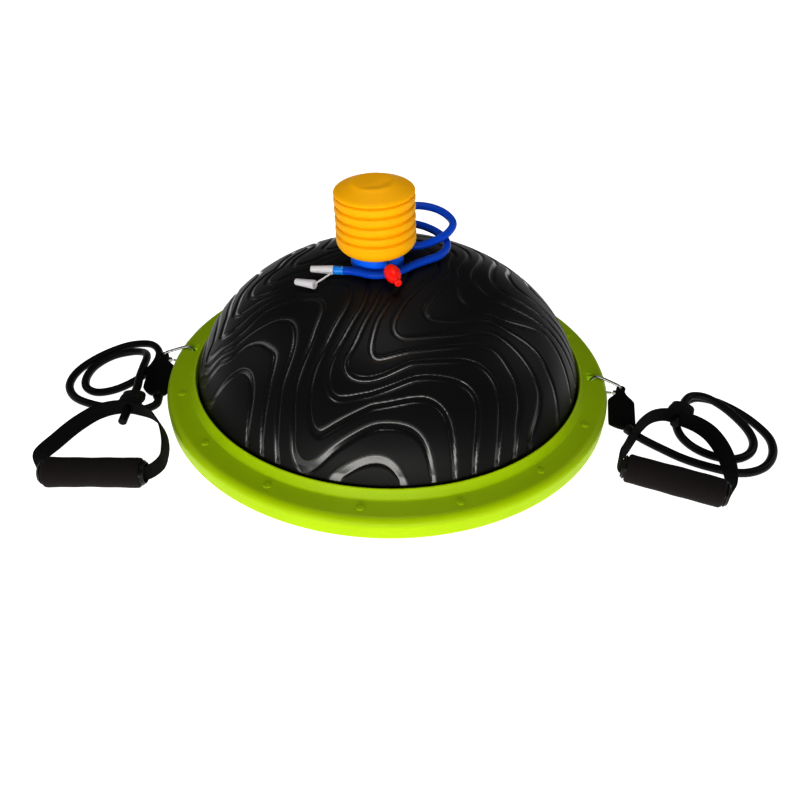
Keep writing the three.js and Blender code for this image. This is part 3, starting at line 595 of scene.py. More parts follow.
def make_dome(rings):
    """Rings of 6k points, evenly spaced along the dome's curve, sunk along the relief's channels."""
    fine = WALL_RADIUS * np.sin(np.linspace(0, math.pi / 2, 4000))
    run = distances(np.stack([fine, dome_height(fine)], 1))
    radii = np.interp(np.linspace(0, run[-1], rings + 1), run, fine)
    xs, ys, starts = [0.0], [0.0], [0]
    for k in range(1, rings + 1):
        angle = 2 * math.pi * np.arange(6 * k) / (6 * k)
        starts.append(len(xs))
        xs += list(radii[k] * np.cos(angle))
        ys += list(radii[k] * np.sin(angle))
    x, y = np.array(xs), np.array(ys)
    radius = np.hypot(x, y)
    z = dome_height(radius)
    away = np.minimum(channel_distance(x, y), 9)
    rim_fade = np.clip((WALL_RADIUS - radius) / 3, 0, 1)
    t = np.clip((away - CHANNEL_HALF + 1.0) / 1.8, 0, 1)
    depth = CHANNEL_DEPTH * (1 - ease(t)) * rim_fade
    verts = np.stack([x, y, z], 1) - dome_normal(x, y, z) * depth[:, None]
    faces = []
    for k in range(rings):
        inner, outer, m, n = starts[k], starts[k + 1], 6 * k, 6 * (k + 1)
        for sector in range(6):
            for j in range(k + 1):
                a = outer + (sector * (k + 1) + j) % n
                b = outer + (sector * (k + 1) + j + 1) % n
                c = inner + (sector * k + j) % m if m else inner
                faces.append([c, a, b])
                if j < k:
                    d = inner + (sector * k + j + 1) % m
                    faces.append([c, b, d])
    # The wall, the clamped flange and the inside, as rings of the outermost count.
    edge = [starts[rings] + i for i in range(6 * rings)]
    angle = 2 * math.pi * np.arange(6 * rings) / (6 * rings)
    low, high, reach = FLANGE_FACES
    inside = [(WALL_RADIUS - DOME_WALL, low)] + UNDER_RELIEF
    total = [verts]
    count = len(verts)
    for r, h in [(WALL_RADIUS, 30), (WALL_RADIUS, high), (reach, high), (reach, low)] + inside:
        total.append(np.stack([r * np.cos(angle), r * np.sin(angle), np.full(len(angle), h)], 1))
        ring = [count + i for i in range(6 * rings)]
        count += 6 * rings
        faces += [[edge[i], edge[i - 1], ring[i - 1], ring[i]] for i in range(6 * rings)]
        edge = ring
    total.append(np.array([[0, 0, UNDER_CROWN]]))
    faces += [[edge[i], edge[i - 1], count] for i in range(6 * rings)]
    verts = np.concatenate(total)
    away = np.concatenate([away, np.full(len(verts) - len(away), 9.0)])
    return verts, faces, away


dome_verts, dome_faces, dome_away = make_dome(RINGS)
# The channels shine most near the rim. They are duller on the crown, where the pump rests, and far left.
CROWN_POLISH, LEFT_POLISH = 0.22, 0.25
from_middle = np.hypot(dome_verts[:, 0], dome_verts[:, 1])
dome_polish = np.clip((3.3 - dome_away) / 0.7, 0, 1)
dome_polish *= CROWN_POLISH + (1 - CROWN_POLISH) * np.clip((from_middle - 90) / 110, 0, 1)
dome_polish *= 1 - (1 - LEFT_POLISH) * np.clip((-195 - dome_verts[:, 0]) / 30, 0, 1)
finish_mesh(
    "contour_dome", dome_verts, dome_faces, DOME, "base", "air_dome",
    {"channel": dome_away, "polish": dome_polish},
)

# Inflation valve on the back, square to the surface
VALVE_Z = 78
valve_radius = DOME_RADIUS * math.sqrt(1 - ((VALVE_Z - DOME_CENTRE_Z) / DOME_RISE) ** 2)
VALVE_POINT = (0, valve_radius, VALVE_Z)
VALVE_AXIS = dome_normal(*VALVE_POINT)


def turned_piece(
    name, profile, look, body, node, origin=(0, 0, 0), axis=(0, 0, 1), steps=64, round_off=0.5,
    closed=True, corner=30,
):
    """A turned piece with eased edges."""
    if round_off:
        profile = rounded(profile, round_off, closed=closed)
    verts, faces = lathe(profile, steps, closed)
    piece = finish_mesh(name, turn_to(verts, origin, axis), faces, look, body, node)
    crease(piece, corner)
    return piece


turned_piece(
    "valve_collar",
    [(5.3, -9), (9, -9), (9, 0.7), (13, 0.7), (13, 1.5), (12, 2.7), (8.6, 2.7), (5.3, 2.7)],
    BLACK_RUBBER, "base", "valve_seat", VALVE_POINT, VALVE_AXIS,
)
turned_piece(
    "valve_stopper",
    [(0, -8), (4, -8), (5, 3), (8, 3), (8, 4.4), (6.5, 5), (2.5, 5.1), (2.5, 7.6), (3.2, 8.7), (0, 8.7)],
    GREY, "plug", "valve_plug", VALVE_POINT, VALVE_AXIS, closed=False,
)

# ---- Rim ring ----
RIM_RADIUS, RIM_WALL, RIM_BOTTOM, RIM_EDGE = 300, 3.5, 3, 10
FLANGE_TOP, FLANGE_UNDER = 27.5, 24.0
LIP_TOP, LIP_INNER, LIP_FOOT, LIP_BOTTOM, LIP_WALL = 39.5, 260.3, 268, 17.6, 5.0
SCREW_RING = 280
STATIONS = 16
# At each hook slot: near and far from the middle, half width, bottom and top
BAR_BLOCK = (285.5, 297, 20, 16, 24.5)
SLOT = (273.5, 286.5, 8, 15, 29)
ARCH = (286.5, 301, 18, 0, 16)


def rim_profile():
    """Outer wall, rounded edge, flat flange and raised lip, then back along the underside."""
    outer, inner, bend = RIM_RADIUS - RIM_EDGE, RIM_RADIUS - RIM_WALL, 7
    points = [(RIM_RADIUS, RIM_BOTTOM)] + arc(outer, FLANGE_TOP - RIM_EDGE, RIM_EDGE, 0, 90, 8)
    lip = [
        (outer, FLANGE_TOP), (LIP_FOOT, FLANGE_TOP), (LIP_INNER + 2.5, LIP_TOP - 0.8),
        (LIP_INNER + 1.2, LIP_TOP), (LIP_INNER, LIP_TOP - 0.8), (LIP_INNER, LIP_BOTTOM),
    ]
    points += [tuple(p) for p in rounded(lip, 2.0, 5, closed=False)[1:]]
    points += [(LIP_INNER + LIP_WALL, LIP_BOTTOM), (LIP_INNER + LIP_WALL, FLANGE_UNDER)]
    points += arc(inner - bend, FLANGE_UNDER - bend, bend, 90, 0, 4)
    return points + [(inner, RIM_BOTTOM)]


def slot_box(sign, near, far, half_width, low, high):
    xs = sorted((sign * near, sign * far))
    verts = [(x, y, z) for x in xs for y in (-half_width, half_width) for z in (low, high)]
    faces = [[0, 1, 3, 2], [4, 6, 7, 5], [0, 4, 5, 1], [2, 3, 7, 6], [0, 2, 6, 4], [1, 5, 7, 3]]
    return np.array(verts, float), faces


rim = finish_mesh("rim", *lathe(rim_profile(), 288, True), LIME, "base", "rim_ring")
# Over each screw a pip on the flange, and under it the post that the screw goes into
PIP = [(0, 26.6), (5.0, 26.6), (4.8, 27.9), (4.2, 28.4), (3.2, 28.66), (1.6, 28.7), (0, 28.7)]
POST = tube_wall(2.5, 5.5, 14.3, 24.5)
stations = arc(0, 0, SCREW_RING, 0, 360, STATIONS)[:-1]
screw_places = [(x, y, 0) for i, (x, y) in enumerate(stations) if i % 8]
for verts, faces in (lathe(PIP, 24, False), lathe(POST, 20, True)):
    cut_with(rim, *joined([(verts + place, faces) for place in screw_places]), "UNION")
# At the hook slots a block thickens the bar, then the slot and the arch below it are cut out.
blocks, cuts = [], []
for sign in (1, -1):
    blocks.append(slot_box(sign, *BAR_BLOCK))
    cuts += [slot_box(sign, *SLOT), slot_box(sign, *ARCH)]
cut_with(rim, *joined(blocks), "UNION")
cut_with(rim, *joined(cuts), "DIFFERENCE")
crease(rim, 34)

# Pads under the platform, ringed for grip
PAD = [(0, 0.6), (4, 0.6), (5, 0), (8, 0), (9, 0.6), (12, 0.6), (13, 0), (16, 0), (17, 0.6), (19, 0.6),
       (20, 0), (22, 0.2), (22, 1.7), (0, 1.7)]
PAD_RING = 225
pad_places = {"centre_pad": (0, 0)}
for i, place in enumerate(arc(0, 0, PAD_RING, 45, 315, 3)):
    pad_places[f"anti_slip_pad_{i + 1}"] = place
for node, (x, y) in pad_places.items():
    turned_piece(f"ringed_{node}", PAD, BLACK_RUBBER, "base", node, (x, y, 0), closed=False, round_off=0.3)

# ---- Resistance bands ----
GRIP_Z = 18.0
BANDS = {
    # grip: middle and turn; strap: x, y, height of its middle, lean in degrees, from the grip's right end
    # round to its left end; apex and the way the tube leaves it; end of the webbing tab; end of the ferrule
    "right": dict(
        sign=1, grip=(353.5, -185.5, -17),
        strap=[
            (415, -197, 18, -10), (421.5, -174, 19, -22), (424.5, -146, 20, -30), (422.5, -116, 20.5, -34),
            (415.5, -93, 20.5, -32), (404, -78, 20, -22), (389, -69, 19.5, -8), (371, -62, 19.5, 0),
            (352, -68, 19.5, -6), (334, -87, 19.5, -14), (319, -112, 18.5, -18), (306, -136, 18.5, -14),
            (296, -153, 18, -4),
        ],
        apex=(383, -66.3), keeper=(0.45, 0.893), tail=12, tab=(314, -75), ferrule=(323.5, -87),
    ),
    "left": dict(
        sign=-1, grip=(-311.5, -252.5, 6.2),
        strap=[
            (-242, -229, 18, 4), (-246, -206, 17, 12), (-256, -181, 16.5, 18), (-270, -159, 17, 16),
            (-289, -142, 18.5, 8), (-306, -135.5, 19, 0), (-321, -133.5, 19.5, 0), (-338, -135.5, 19, -4),
            (-356, -146, 18, -12), (-371, -170, 17, -18), (-381, -204, 17, -18), (-386.5, -238, 18, -8),
        ],
        apex=(-321, -133.5), keeper=(-0.15, 0.989), tail=26, tab=(-312, -72), ferrule=(-300, -93),
    ),
}
HOOK_START, HOOK_Z, HOOK_YAW = 279.5, 19.0, math.radians(20)
HOOK_LENGTH, HOOK_BIG, HOOK_SMALL = 42, 12, 7
HOOK_WIRE, GATE_WIRE = 2.0, 1.75
PIVOT_ANGLE, NOSE_ANGLE = -72, 286
KEEPER_Z = 19.5


def hook_point(u, v, sign):
    """A place in the hook's plane: u out along the hook, v up."""
    return np.array([sign * (HOOK_START + u * math.cos(HOOK_YAW)), -u * math.sin(HOOK_YAW), HOOK_Z + v])


def strap_ribbon(path, lean, width, thick):
    """A closed loop of webbing on edge, leaning over by an angle, with how far along and across it is."""
    side, up = frames(path, up=np.array((0, 0, 1.0)), closed=True)
    c, s = np.cos(lean)[:, None], np.sin(lean)[:, None]
    wide, flat = up * c - side * s, side * c + up * s
    section = oval(thick / 2, width / 2, 28, 0.42)
    verts, faces = sweep(path, [section] * len(path), flat, wide, True)
    return verts, faces, np.repeat(distances(path), len(section)), np.tile(section[:, 1], len(path))


def make_hook(side, band):
    """The snap hook's bent wire, with the eye where its gate turns, and the gate."""
    sign, small = band["sign"], HOOK_LENGTH - HOOK_SMALL
    flat = arc(small, 0, HOOK_SMALL, PIVOT_ANGLE, 82, 10) + arc(HOOK_BIG, 0, HOOK_BIG, 98, NOSE_ANGLE, 16)
    path = catmull([hook_point(u, v, sign) for u, v in flat], 5)
    body = rod(path, HOOK_WIRE, 18)
    # The pivot's flattened eye where the gate turns
    pivot = hook_point(small, -HOOK_SMALL + 0.4, sign)
    across = np.array([math.sin(HOOK_YAW) * sign, math.cos(HOOK_YAW), 0])
    eye_v, eye_f = lathe(rounded(tube_wall(0, 2.9, -2.6, 2.6), 0.5, closed=False), 24, False)
    verts, faces = joined([body, (turn_to(eye_v, pivot, across), eye_f)])
    hook = finish_mesh(f"wire_hook_{side}", verts, faces, STEEL, f"band_{side}", f"hook_{side}")
    crease(hook, 50)

    nose = math.radians(NOSE_ANGLE)
    start = np.array([HOOK_BIG * (1 + math.cos(nose)), HOOK_BIG * math.sin(nose)])
    end = np.array([small, -HOOK_SMALL])
    reach = np.linalg.norm(end - start)
    shares = np.linspace(0.9 / reach, 1 - 3.4 / reach, 14)  # clear of the nose and of the pivot
    path = np.array([hook_point(*(start + (end - start) * t), sign) for t in shares])
    gate = rod(path, GATE_WIRE, 16, 0.9)
    finish_mesh(f"wire_gate_{side}", *gate, STEEL, f"gate_{side}", f"hook_gate_{side}")


TAB_END_Z, FERRULE_Z, FERRULE_LENGTH = 6.0, 6.9, 8
TAB_HALF_WIDTH, TAB_HALF_THICK = 17.4, 2.2
EYE_INNER, EYE_OUTER, EYE_HALF_WIDTH = 4.2, 6.0, 4.0
EYE_HALF_THICK = 3.4
TAB_START, SPREAD_BY = 5.2, 0.3
SEAM_INSET, SEAM_WIDTH, SEAM_DEPTH, CROSS_SEAMS = 2.4, 0.7, 0.35, (0.4, 0.92)
STITCH_ROW, STITCH_RADIUS = 14.2, 0.32
FOLD_IN, TONGUE_END, TONGUE_HALF_WIDTH = 0.85, 1.3, 6.8


def make_anchor(side, band):
    """Webbing gathered round the hook's eye and sewn flat into a tab that lies down to the floor."""
    body = f"band_{side}"
    eye = hook_point(HOOK_LENGTH, 0, band["sign"])
    loop = tube_wall(EYE_INNER, EYE_OUTER, -EYE_HALF_WIDTH, EYE_HALF_WIDTH)
    ring = lathe(rounded(loop, 0.7), 40, True)
    ring = (ring[0] + eye, ring[1])
    end = np.array([*band["tab"], TAB_END_Z])
    length = np.linalg.norm(end - eye)
    run = unit(end - eye)
    side_dir = unit(np.cross(run, (0, 0, 1)))
    up_dir = np.cross(side_dir, run)
    ferrule_end = np.array([*band["ferrule"], FERRULE_Z])
    away = unit(ferrule_end - (*band["tab"], FERRULE_Z))
    ferrule_start = ferrule_end - away * FERRULE_LENGTH
    path, sections, along, across = [], [], [], []
    for t in np.linspace(0, TONGUE_END, 44):
        d = TAB_START + min(t, 1) * (length - TAB_START)
        spread = ease(min(1.0, t / SPREAD_BY))
        half_width = EYE_OUTER + (TAB_HALF_WIDTH - EYE_OUTER) * spread
        half_thick = EYE_HALF_THICK + (TAB_HALF_THICK - EYE_HALF_THICK) * spread
        place = eye + run * d
        if t > FOLD_IN:
            # The end is folded in to a rounded tongue over the ferrule.
            share = (t - FOLD_IN) / (TONGUE_END - FOLD_IN)
            round_in = math.sqrt(max(0, 1 - share**2.2))
            half_width = TONGUE_HALF_WIDTH + (TAB_HALF_WIDTH - TONGUE_HALF_WIDTH) * round_in
            half_thick = TAB_HALF_THICK + 1.6 * share
        if t > 1:
            share = (t - 1) / (TONGUE_END - 1)
            place = end + (ferrule_start + away * 2 - end) * share
        section = oval(half_width, half_thick, 32, 0.45)
        # The seams press a furrow along both edges and across the tab.
        from_seam = abs(section[:, 0]) - half_width + SEAM_INSET
        pressed = SEAM_DEPTH * np.exp(-((from_seam / SEAM_WIDTH) ** 2)) * spread
        if any(abs(t - seam) < 0.02 for seam in CROSS_SEAMS):
            pressed += 0.3 * spread
        section[:, 1] -= np.sign(section[:, 1]) * np.minimum(pressed, abs(section[:, 1]) * 0.5)
        path.append(place)
        sections.append(section)
        along += [t * length] * len(section)
        across += list(section[:, 0])
    verts, faces = joined([sweep(path, sections, side_dir, up_dir), ring])
    pad = len(verts) - len(along)
    weave = {"along": along + [0] * pad, "across": across + list(ring[0][:, 2] - eye[2])}
    crease(finish_mesh(f"anchor_tab_{side}", verts, faces, WEBBING, body, f"anchor_strap_{side}", weave), 55)

    # Stitches: two rows along the tab's edges and one across its end
    stitches = []

    def stitch(middle, way, half, curve):
        reach = np.linspace(-half, half, 5)
        path = np.array([middle + way * x + up_dir * (0.25 - curve * x * x) for x in reach])
        stitches.append(rod(path, STITCH_RADIUS, 6, 0.4))

    for row in (-STITCH_ROW, STITCH_ROW):
        for k in range(9):
            d = length * 0.5 + k * (length * 0.44) / 9
            middle = eye + run * d + side_dir * row * (1 - 0.12 * (k / 9) ** 2) + up_dir * 2.0
            stitch(middle, run, 1.5, 0.09)
    for k in range(7):
        middle = eye + run * (length * 0.9) + side_dir * (-10 + k * 20 / 6) + up_dir * 2.0
        stitch(middle, side_dir, 1.0, 0.1)
    finish_mesh(f"tab_stitches_{side}", *joined(stitches), BLACK_PLASTIC, body)

    profile = [
        (0, 0), (5.4, 0), (6.5, 1.2), (6.5, 2.4), (6.0, 2.8), (6.0, 3.4), (6.5, 3.8), (6.5, 5.2),
        (6.0, 5.6), (6.0, 6.2), (6.5, 6.6), (6.3, 7.4), (5.6, FERRULE_LENGTH), (0, FERRULE_LENGTH),
    ]
    turned_piece(
        f"ribbed_ferrule_{side}", profile, BLACK_PLASTIC, body, f"tube_ferrule_{side}",
        ferrule_start, away, 40, 0.4, closed=False,
    )


STRAP_WIDTH, STRAP_THICK = 21, 2.0
STRAP_STRAIGHT = (-60, -40, 0, 40, 60)
FOAM_HALF, FOAM_RADIUS, FOAM_BORE = 54.0, 17.3, 13.7
CORE_HALF, CORE_RADIUS, CORE_BORE = 55.5, 13.4, 12
COLLAR_FROM, COLLAR_TO = 55.6, 59.4
KEEPER_START, KEEPER_LENGTH, KEEPER_HALF_WIDTH, KEEPER_HALF_HEIGHT = 2.2, 27, 15.5, 8.2


def make_handle(side, band):
    """The handle: its strap, foam grip, core and collars, and the wound keeper with the tube's cut end."""
    body = f"band_{side}"
    x, y, turn = band["grip"]
    turn = math.radians(turn)
    axis = np.array([math.cos(turn), math.sin(turn), 0])
    middle = np.array([x, y, GRIP_Z])
    straight = [(*(middle + axis * d), 0.0) for d in STRAP_STRAIGHT]
    line = catmull(straight + list(band["strap"]), 12, closed=True)
    verts, faces, along, across = strap_ribbon(line[:, :3], np.radians(line[:, 3]), STRAP_WIDTH, STRAP_THICK)
    finish_mesh(
        f"webbing_loop_{side}", verts, faces, WEBBING, body, f"handle_strap_{side}",
        {"along": along, "across": across},
    )

    # Foam grip, a little squeezed and uneven along its length
    outer = []
    for t in np.linspace(-1, 1, 61):
        dent = 0.35 * math.sin(7.3 * t + band["sign"]) * math.cos(3.1 * t) - 0.25 * (1 - t * t)
        edge = 1 - abs(t)
        r = FOAM_RADIUS + dent
        if edge < 0.05:
            r -= 1.9 * (1 - edge / 0.05) ** 2
        outer.append((r, FOAM_HALF * t))
    profile = [(FOAM_BORE, -FOAM_HALF)] + outer + [(FOAM_BORE, FOAM_HALF)]
    verts, faces = lathe(profile, 72, True)
    angle = np.arctan2(verts[:, 1], verts[:, 0])
    radial = np.hypot(verts[:, 0], verts[:, 1])
    soft = 1 + 0.008 * np.sin(3 * angle + verts[:, 2] * 0.05) * (radial > 14.5)
    verts[:, 0] *= soft
    verts[:, 1] *= soft
    grip_body = f"grip_{side}"
    verts = turn_to(verts, middle, axis)
    foam = finish_mesh(f"foam_sleeve_{side}", verts, faces, FOAM, grip_body, f"foam_grip_{side}")
    crease(foam, 40)
    turned_piece(
        f"grip_tube_{side}", tube_wall(CORE_BORE, CORE_RADIUS, -CORE_HALF, CORE_HALF), BLACK_PLASTIC,
        grip_body, f"grip_core_{side}", middle, axis, 56, 0.4,
    )
    for end, s in (("inner", -1), ("outer", 1)):
        wide, narrow = s * COLLAR_FROM, s * COLLAR_TO
        profile = [(11.3, wide), (14.4, wide), (14.6, wide + s * 0.6), (14.3, wide + s * 1.4),
                   (13.3, wide + s * 1.9), (12.9, narrow - s * 0.9), (12.4, narrow), (11.3, narrow)]
        turned_piece(
            f"collar_{end}_{side}", profile, BLACK_PLASTIC, grip_body, f"end_cap_{end}_{side}",
            middle, axis, 56,
        )

    # Keeper: the tube's end wound and pulled tight against the strap, with its tail on the other side
    out = np.array([*band["keeper"], 0.0])
    side_dir = np.array([-out[1], out[0], 0.0])
    apex = np.array([*band["apex"], KEEPER_Z])
    path, sections = [], []
    for t in np.linspace(0, 1, 49):
        swell = 0.5 + 0.5 * math.sqrt(max(0, 1 - (2 * t - 1) ** 8))
        turns = 1 - 0.13 * abs(math.cos(math.pi * 2.5 * t)) ** 6
        size = swell * turns * min(1, 0.62 + 5 * min(t, 1 - t))
        path.append(apex + out * (KEEPER_START + KEEPER_LENGTH * t) + side_dir * 0.9 * math.sin(6 * t))
        sections.append(oval(KEEPER_HALF_WIDTH * size, KEEPER_HALF_HEIGHT * size, 36, 0.85))
    keeper = sweep(path, sections, side_dir, (0, 0, 1))
    finish_mesh(f"wound_keeper_{side}", *keeper, BLACK_RUBBER, body, f"tube_keeper_{side}")
    foot = -4.6 - band["tail"]
    stem = [(0, foot), (4.4, foot), (TUBE_RADIUS, foot + 0.8), (TUBE_RADIUS, -5.2), (4.4, -4.6),
            (3.6, -4.4), (3.6, 7.9), (0, 7.9)]
    turned_piece(
        f"tube_end_{side}", stem, TUBE_RUBBER, body, f"tube_tail_{side}", apex, out, 32, closed=False
    )


for side, band in BANDS.items():
    make_hook(side, band)
    make_anchor(side, band)
    make_handle(side, band)

# ---- Foot pump ----
PUMP_X, PUMP_Y = -14, -20
PUMP_Z = dome_height(math.hypot(PUMP_X, PUMP_Y))
PUMP_AXIS = dome_normal(PUMP_X, PUMP_Y, PUMP_Z)
PUMP_ORIGIN = np.array([PUMP_X, PUMP_Y, PUMP_Z]) + PUMP_AXIS * GAP


def in_pump(points):
    """Points made round the pump's own axis, where it stands on the dome."""
    return turn_to(points, PUMP_ORIGIN, PUMP_AXIS)


def half_smooth(profile):
    """A profile of a closed turned shape, from its middle underside round to the axis, made smooth."""
    line = catmull([(r, z, 0) for r, z in profile[1:]], 3)[:, :2]
    return [profile[0]] + [tuple(p) for p in line[:-1]] + [(0, line[-1][1])]


# Base cup with its outlet and its side port
CUP = [(0, 0), (31.5, 0), (32.5, 1), (32.5, 6.4), (31.9, 7), (31.9, 8), (32.5, 8.6), (32.5, 17),
       (30.5, 19), (26, 19), (26, 24), (23.5, 24), (23.5, 3), (0, 3)]
cup = turned_piece("pump_cup", CUP, CUP_BLUE, "pump", "pump_base", PUMP_ORIGIN, PUMP_AXIS, 96, closed=False)
RED_ANGLE = math.radians(-64)
RED_OUT = np.array([math.cos(RED_ANGLE), math.sin(RED_ANGLE), 0])
RED_AXIS = unit(RED_OUT + (0, 0, -0.1))
RED_START = RED_OUT * 29.5 + (0, 0, 15)
RED_PORT = 14.5
barb = [(0, 0), (4.2, 0), (4.2, 3.2), (3.8, 3.6), (4.2, 5.6), (3.7, 6), (4.0, 7.6), (3.4, 8), (2, 8),
        (2, 1), (0, 1)]
port = [(0, 0), (4.2, 0), (4.2, 11), (3.9, 11.6), (4.2, RED_PORT - 0.6), (3.6, RED_PORT), (2, RED_PORT),
        (2, 1), (0, 1)]
ports = []
for profile, origin, axis in ((barb, (0, 29.5, 14.5), (0, 1, 0)), (port, RED_START, RED_AXIS)):
    v, f = lathe(profile, 32, False)
    ports.append((in_pump(turn_to(v, origin, axis)), f))
cut_with(cup, *joined(ports), "UNION")
crease(cup, 32)

# Bellows: soft folds that overhang a little, a plain band at the foot, slightly wider towards it
BELLOWS_FOOT, BELLOWS_BAND, FOLD, FOLDS = 20.0, 23.0, 11.75, 4
BELLOWS_TOP = BELLOWS_FOOT + BELLOWS_BAND + FOLDS * FOLD


def bellows_line(inset):
    """The bellows' outside, or its inside when set in, from the foot of the band to the top fold."""
    points = []
    for z in np.linspace(BELLOWS_FOOT + 3.0, BELLOWS_TOP, 181):
        phase = (z - BELLOWS_FOOT - BELLOWS_BAND) / FOLD
        wave = phase - math.floor(phase)
        groove = math.exp(-((min(wave, 1 - wave) / 0.12) ** 2))
        if phase < 0:
            share = (z - BELLOWS_FOOT - 3.0) / (BELLOWS_BAND - 3.0)
            r = 40.5 + 6.4 * math.sin(math.pi / 2 * min(1, share * 1.9)) ** 0.8
            groove = math.exp(-((phase / 0.12) ** 2))
        else:
            r = 45.2 + 1.3 * math.sin(math.pi * wave) ** 0.8 + 0.4 * (1 - wave)
        points.append((r + 1.6 - 0.7 * (z - BELLOWS_FOOT) / 70 - 2.1 * groove - inset, z))
    return points


profile = (
    [(26.3, BELLOWS_FOOT), (37, BELLOWS_FOOT + 0.2), (40, BELLOWS_FOOT + 1.4)]
    + bellows_line(0)
    + bellows_line(1.5)[::-1]
    + [(37, BELLOWS_FOOT + 1.7), (26.3, BELLOWS_FOOT + 1.6)]
)
bellows = turned_piece(
    "pump_bellows", profile, YELLOW, "pump", "bellows", PUMP_ORIGIN, PUMP_AXIS, 120, 0, corner=50
)


def squash_with_cap(piece, low):
    """Gives the piece its own copy of its mesh. The place at height low is worked out but not used, and the
    piece is not shortened.
    """
    anchor = in_pump([[0, 0, low]])[0] * MM
    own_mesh(piece)


squash_with_cap(bellows, BELLOWS_FOOT)

# Pressing cap: sloping shoulder and a raised tread
CAP_FOOT = BELLOWS_TOP + GAP
CAP = [(0, 0), (45.8, 0), (47.3, 0.9), (47.2, 2.2), (45.3, 4.0), (41.5, 5.7), (37, 7.4), (32.5, 9.1),
       (29, 10.5), (26.6, 11.7), (24.6, 12.6), (21.5, 13.0), (17, 13.2), (12, 13.2), (6, 13.1), (0, 13.0)]
verts, faces = lathe(half_smooth([(r, z + CAP_FOOT) for r, z in CAP]), 96, False)
# The tread is dented in a crescent on the side nearest the red stopper.
DENT_ANGLE = -0.75
toward = verts[:, 0] * math.cos(DENT_ANGLE) + verts[:, 1] * math.sin(DENT_ANGLE)
across = -verts[:, 0] * math.sin(DENT_ANGLE) + verts[:, 1] * math.cos(DENT_ANGLE)
bend = np.exp(-(((toward - 13 + across**2 / 60) / 5.5) ** 2)) * np.exp(-((across / 15) ** 2))
verts[:, 2] -= 2.8 * bend * np.clip((verts[:, 2] - CAP_FOOT - 8) / 4, 0, 1)
crease(finish_mesh("pump_cap", in_pump(verts), faces, YELLOW, "cap", "pressing_cap"), 60)

# Return spring inside
SPRING_FOOT, SPRING_TOP, SPRING_RADIUS, SPRING_TURNS = 6.0, 89.0, 17, 5
turns = np.linspace(0, 2 * math.pi * SPRING_TURNS, 181)
rise = np.linspace(SPRING_FOOT, SPRING_TOP, 181)
coil = np.stack([SPRING_RADIUS * np.cos(turns), SPRING_RADIUS * np.sin(turns), rise], 1)
spring = finish_mesh("pump_spring", *rod(in_pump(coil), 0.9, 10), ZINC, "pump", "return_spring")
squash_with_cap(spring, SPRING_FOOT)

# Red stopper: egg-shaped, with a small pull tip
EGG = [(0, 0), (5.2, 0), (7.4, 2), (8.9, 6), (9.5, 11), (9.1, 15.5), (7.8, 19.6), (6.0, 22.6),
       (4.6, 24.4), (4.0, 25.4), (3.9, 28.4), (4.4, 29.4), (4.3, 31.2), (3.4, 32), (0, 32)]
v, f = lathe(half_smooth(EGG), 48, False)
verts = in_pump(turn_to(v, RED_START + RED_AXIS * (RED_PORT + GAP), RED_AXIS))
crease(finish_mesh("red_stopper", verts, f, RED, "stopper", "port_stopper"), 60)

# Hose, connector and nozzles
CONNECTOR_LENGTH = 12
CONNECTOR = [(1.8, 0), (5.2, 0), (5.2, 3), (4.8, 3.5), (4.8, 4.3), (5.2, 4.8), (5.2, 9),
             (4.9, CONNECTOR_LENGTH), (1.8, CONNECTOR_LENGTH)]
NOZZLE = [(1.5, 0), (5.4, 0), (5.6, 3), (5.3, 4), (5.1, 8), (4.7, 14), (4.3, 21), (4.0, 28), (1.5, 28)]
NOZZLE_AXIS = unit([-1, 0.06, -0.05])
SPARE_START = np.array([-82, -74, 181.0])
SPARE_AXIS = unit([-27, 12, -4])
connector_start = HOSE_ROUTE[-1] + NOZZLE_AXIS * GAP
nozzle_start = connector_start + NOZZLE_AXIS * (CONNECTOR_LENGTH + GAP)
for connected in (
    ("clear_connector", CONNECTOR, CYAN, "pump", "hose_connector", connector_start, NOZZLE_AXIS),
    ("nozzle_on_hose", NOZZLE, GREY, "nozzles", "nozzle_fitted", nozzle_start, NOZZLE_AXIS),
    ("nozzle_spare_loose", NOZZLE, GREY, "nozzles", "nozzle_spare", SPARE_START, SPARE_AXIS),
):
    turned_piece(*connected, 40, 0.4)
tether_top = nozzle_start + NOZZLE_AXIS * 1.5 + (0, -5.9, -1)
tether_foot = SPARE_START - SPARE_AXIS * 1.2 + (0, 0, 2)
tether_line = catmull([tether_top, (tether_top + tether_foot) / 2 + (0.5, -1, 0.5), tether_foot], 10)
tether = rod(tether_line, 1.2, 10, 0.6)
finish_mesh("nozzle_strap", *tether, GREY, "nozzles", "nozzle_tether")

hose, length = cord_curve("blue_hose", HOSE_ROUTE, HOSE_RADIUS, HOSE_BLUE, "pump", "pump_hose")

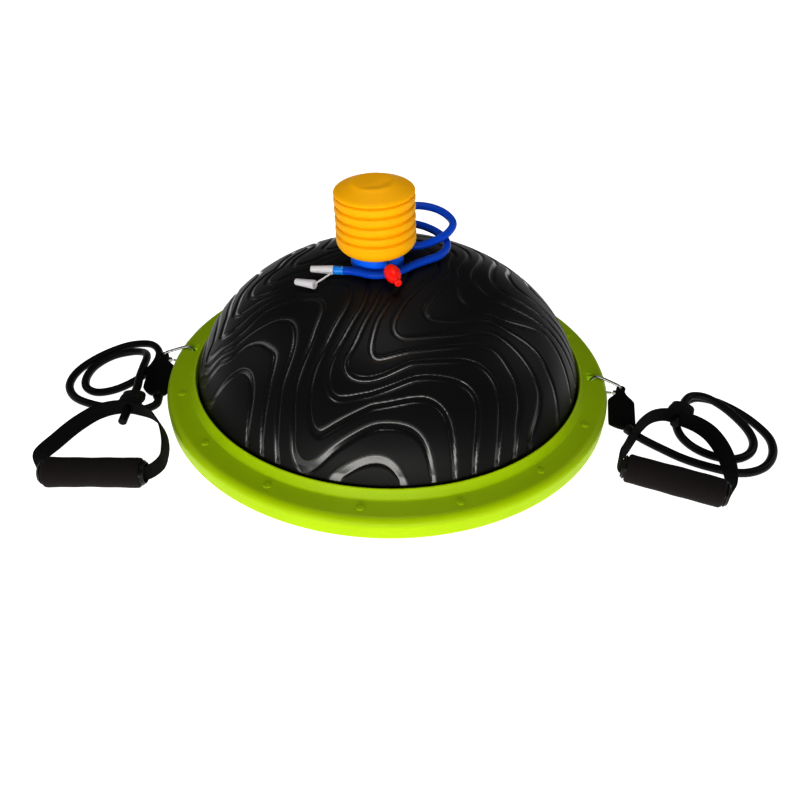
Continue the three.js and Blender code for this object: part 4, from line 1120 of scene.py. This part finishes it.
# ---- CAD pieces that stay ----
for node, piece in NODES.items():
    if node == "base_platform":
        piece.data.materials[0] = LIME.material
    elif node.startswith("rim_screw"):
        piece.data.materials[0] = ZINC.material
    elif node == "inlet_flap":
        piece.data.materials[0] = BLACK_RUBBER.material

# ---- Floor and light ----
FLOOR = Look("floor", (0.92, 0.92, 0.92), 0.8)
FLOOR.shader.inputs["Emission Color"].default_value = (1, 1, 1, 1)
FLOOR.shader.inputs["Emission Strength"].default_value = 1.0
FLOOR_RADIUS, FLOOR_Z = 60, -0.0006
floor_edge = [(x, y, FLOOR_Z) for x, y in arc(0, 0, FLOOR_RADIUS, 0, 360, 96)[:-1]]
floor_mesh = bpy.data.meshes.new("floor")
floor_mesh.from_pydata(floor_edge, [], [list(range(96))])
floor_mesh.materials.append(FLOOR.material)
placed("floor", floor_mesh)


def area_light(name, place, target, size, power, colour=(1, 1, 1)):
    lamp = bpy.data.lights.new(name, "AREA")
    lamp.shape, lamp.size, lamp.size_y = "RECTANGLE", size[0], size[1]
    lamp.energy, lamp.color = power, colour
    made = placed(name, lamp)
    made.location = place
    made.rotation_euler = (Vector(target) - Vector(place)).to_track_quat("-Z", "Y").to_euler()


area_light("front", (0.1, -2.4, 0.36), (0, 0, 0.1), (3.2, 0.62), 46, (1.0, 0.98, 0.94))
area_light("right", (2.2, 0.9, 1.3), (0, 0, 0.1), (0.9, 0.9), 6)
area_light("left", (-2.2, 0.2, 1.3), (0, 0, 0.1), (0.8, 0.9), 4)
area_light("top", (0.1, 0.45, 1.05), (0, 0, 0.2), (0.5, 0.5), 0.6)
area_light("over_pump", (-0.05, -0.1, 0.74), (-0.015, -0.02, 0.29), (0.2, 0.2), 1.0)
world = bpy.data.worlds.new("studio")
world.use_nodes = True
sky = world.node_tree.nodes["Background"].inputs
sky["Color"].default_value = (1, 1, 1, 1)
sky["Strength"].default_value = 0.09
scene = bpy.context.scene
scene.world = world
scene.view_settings.view_transform = "Standard"
scene.view_settings.look = "None"
scene.view_settings.gamma = 0.86
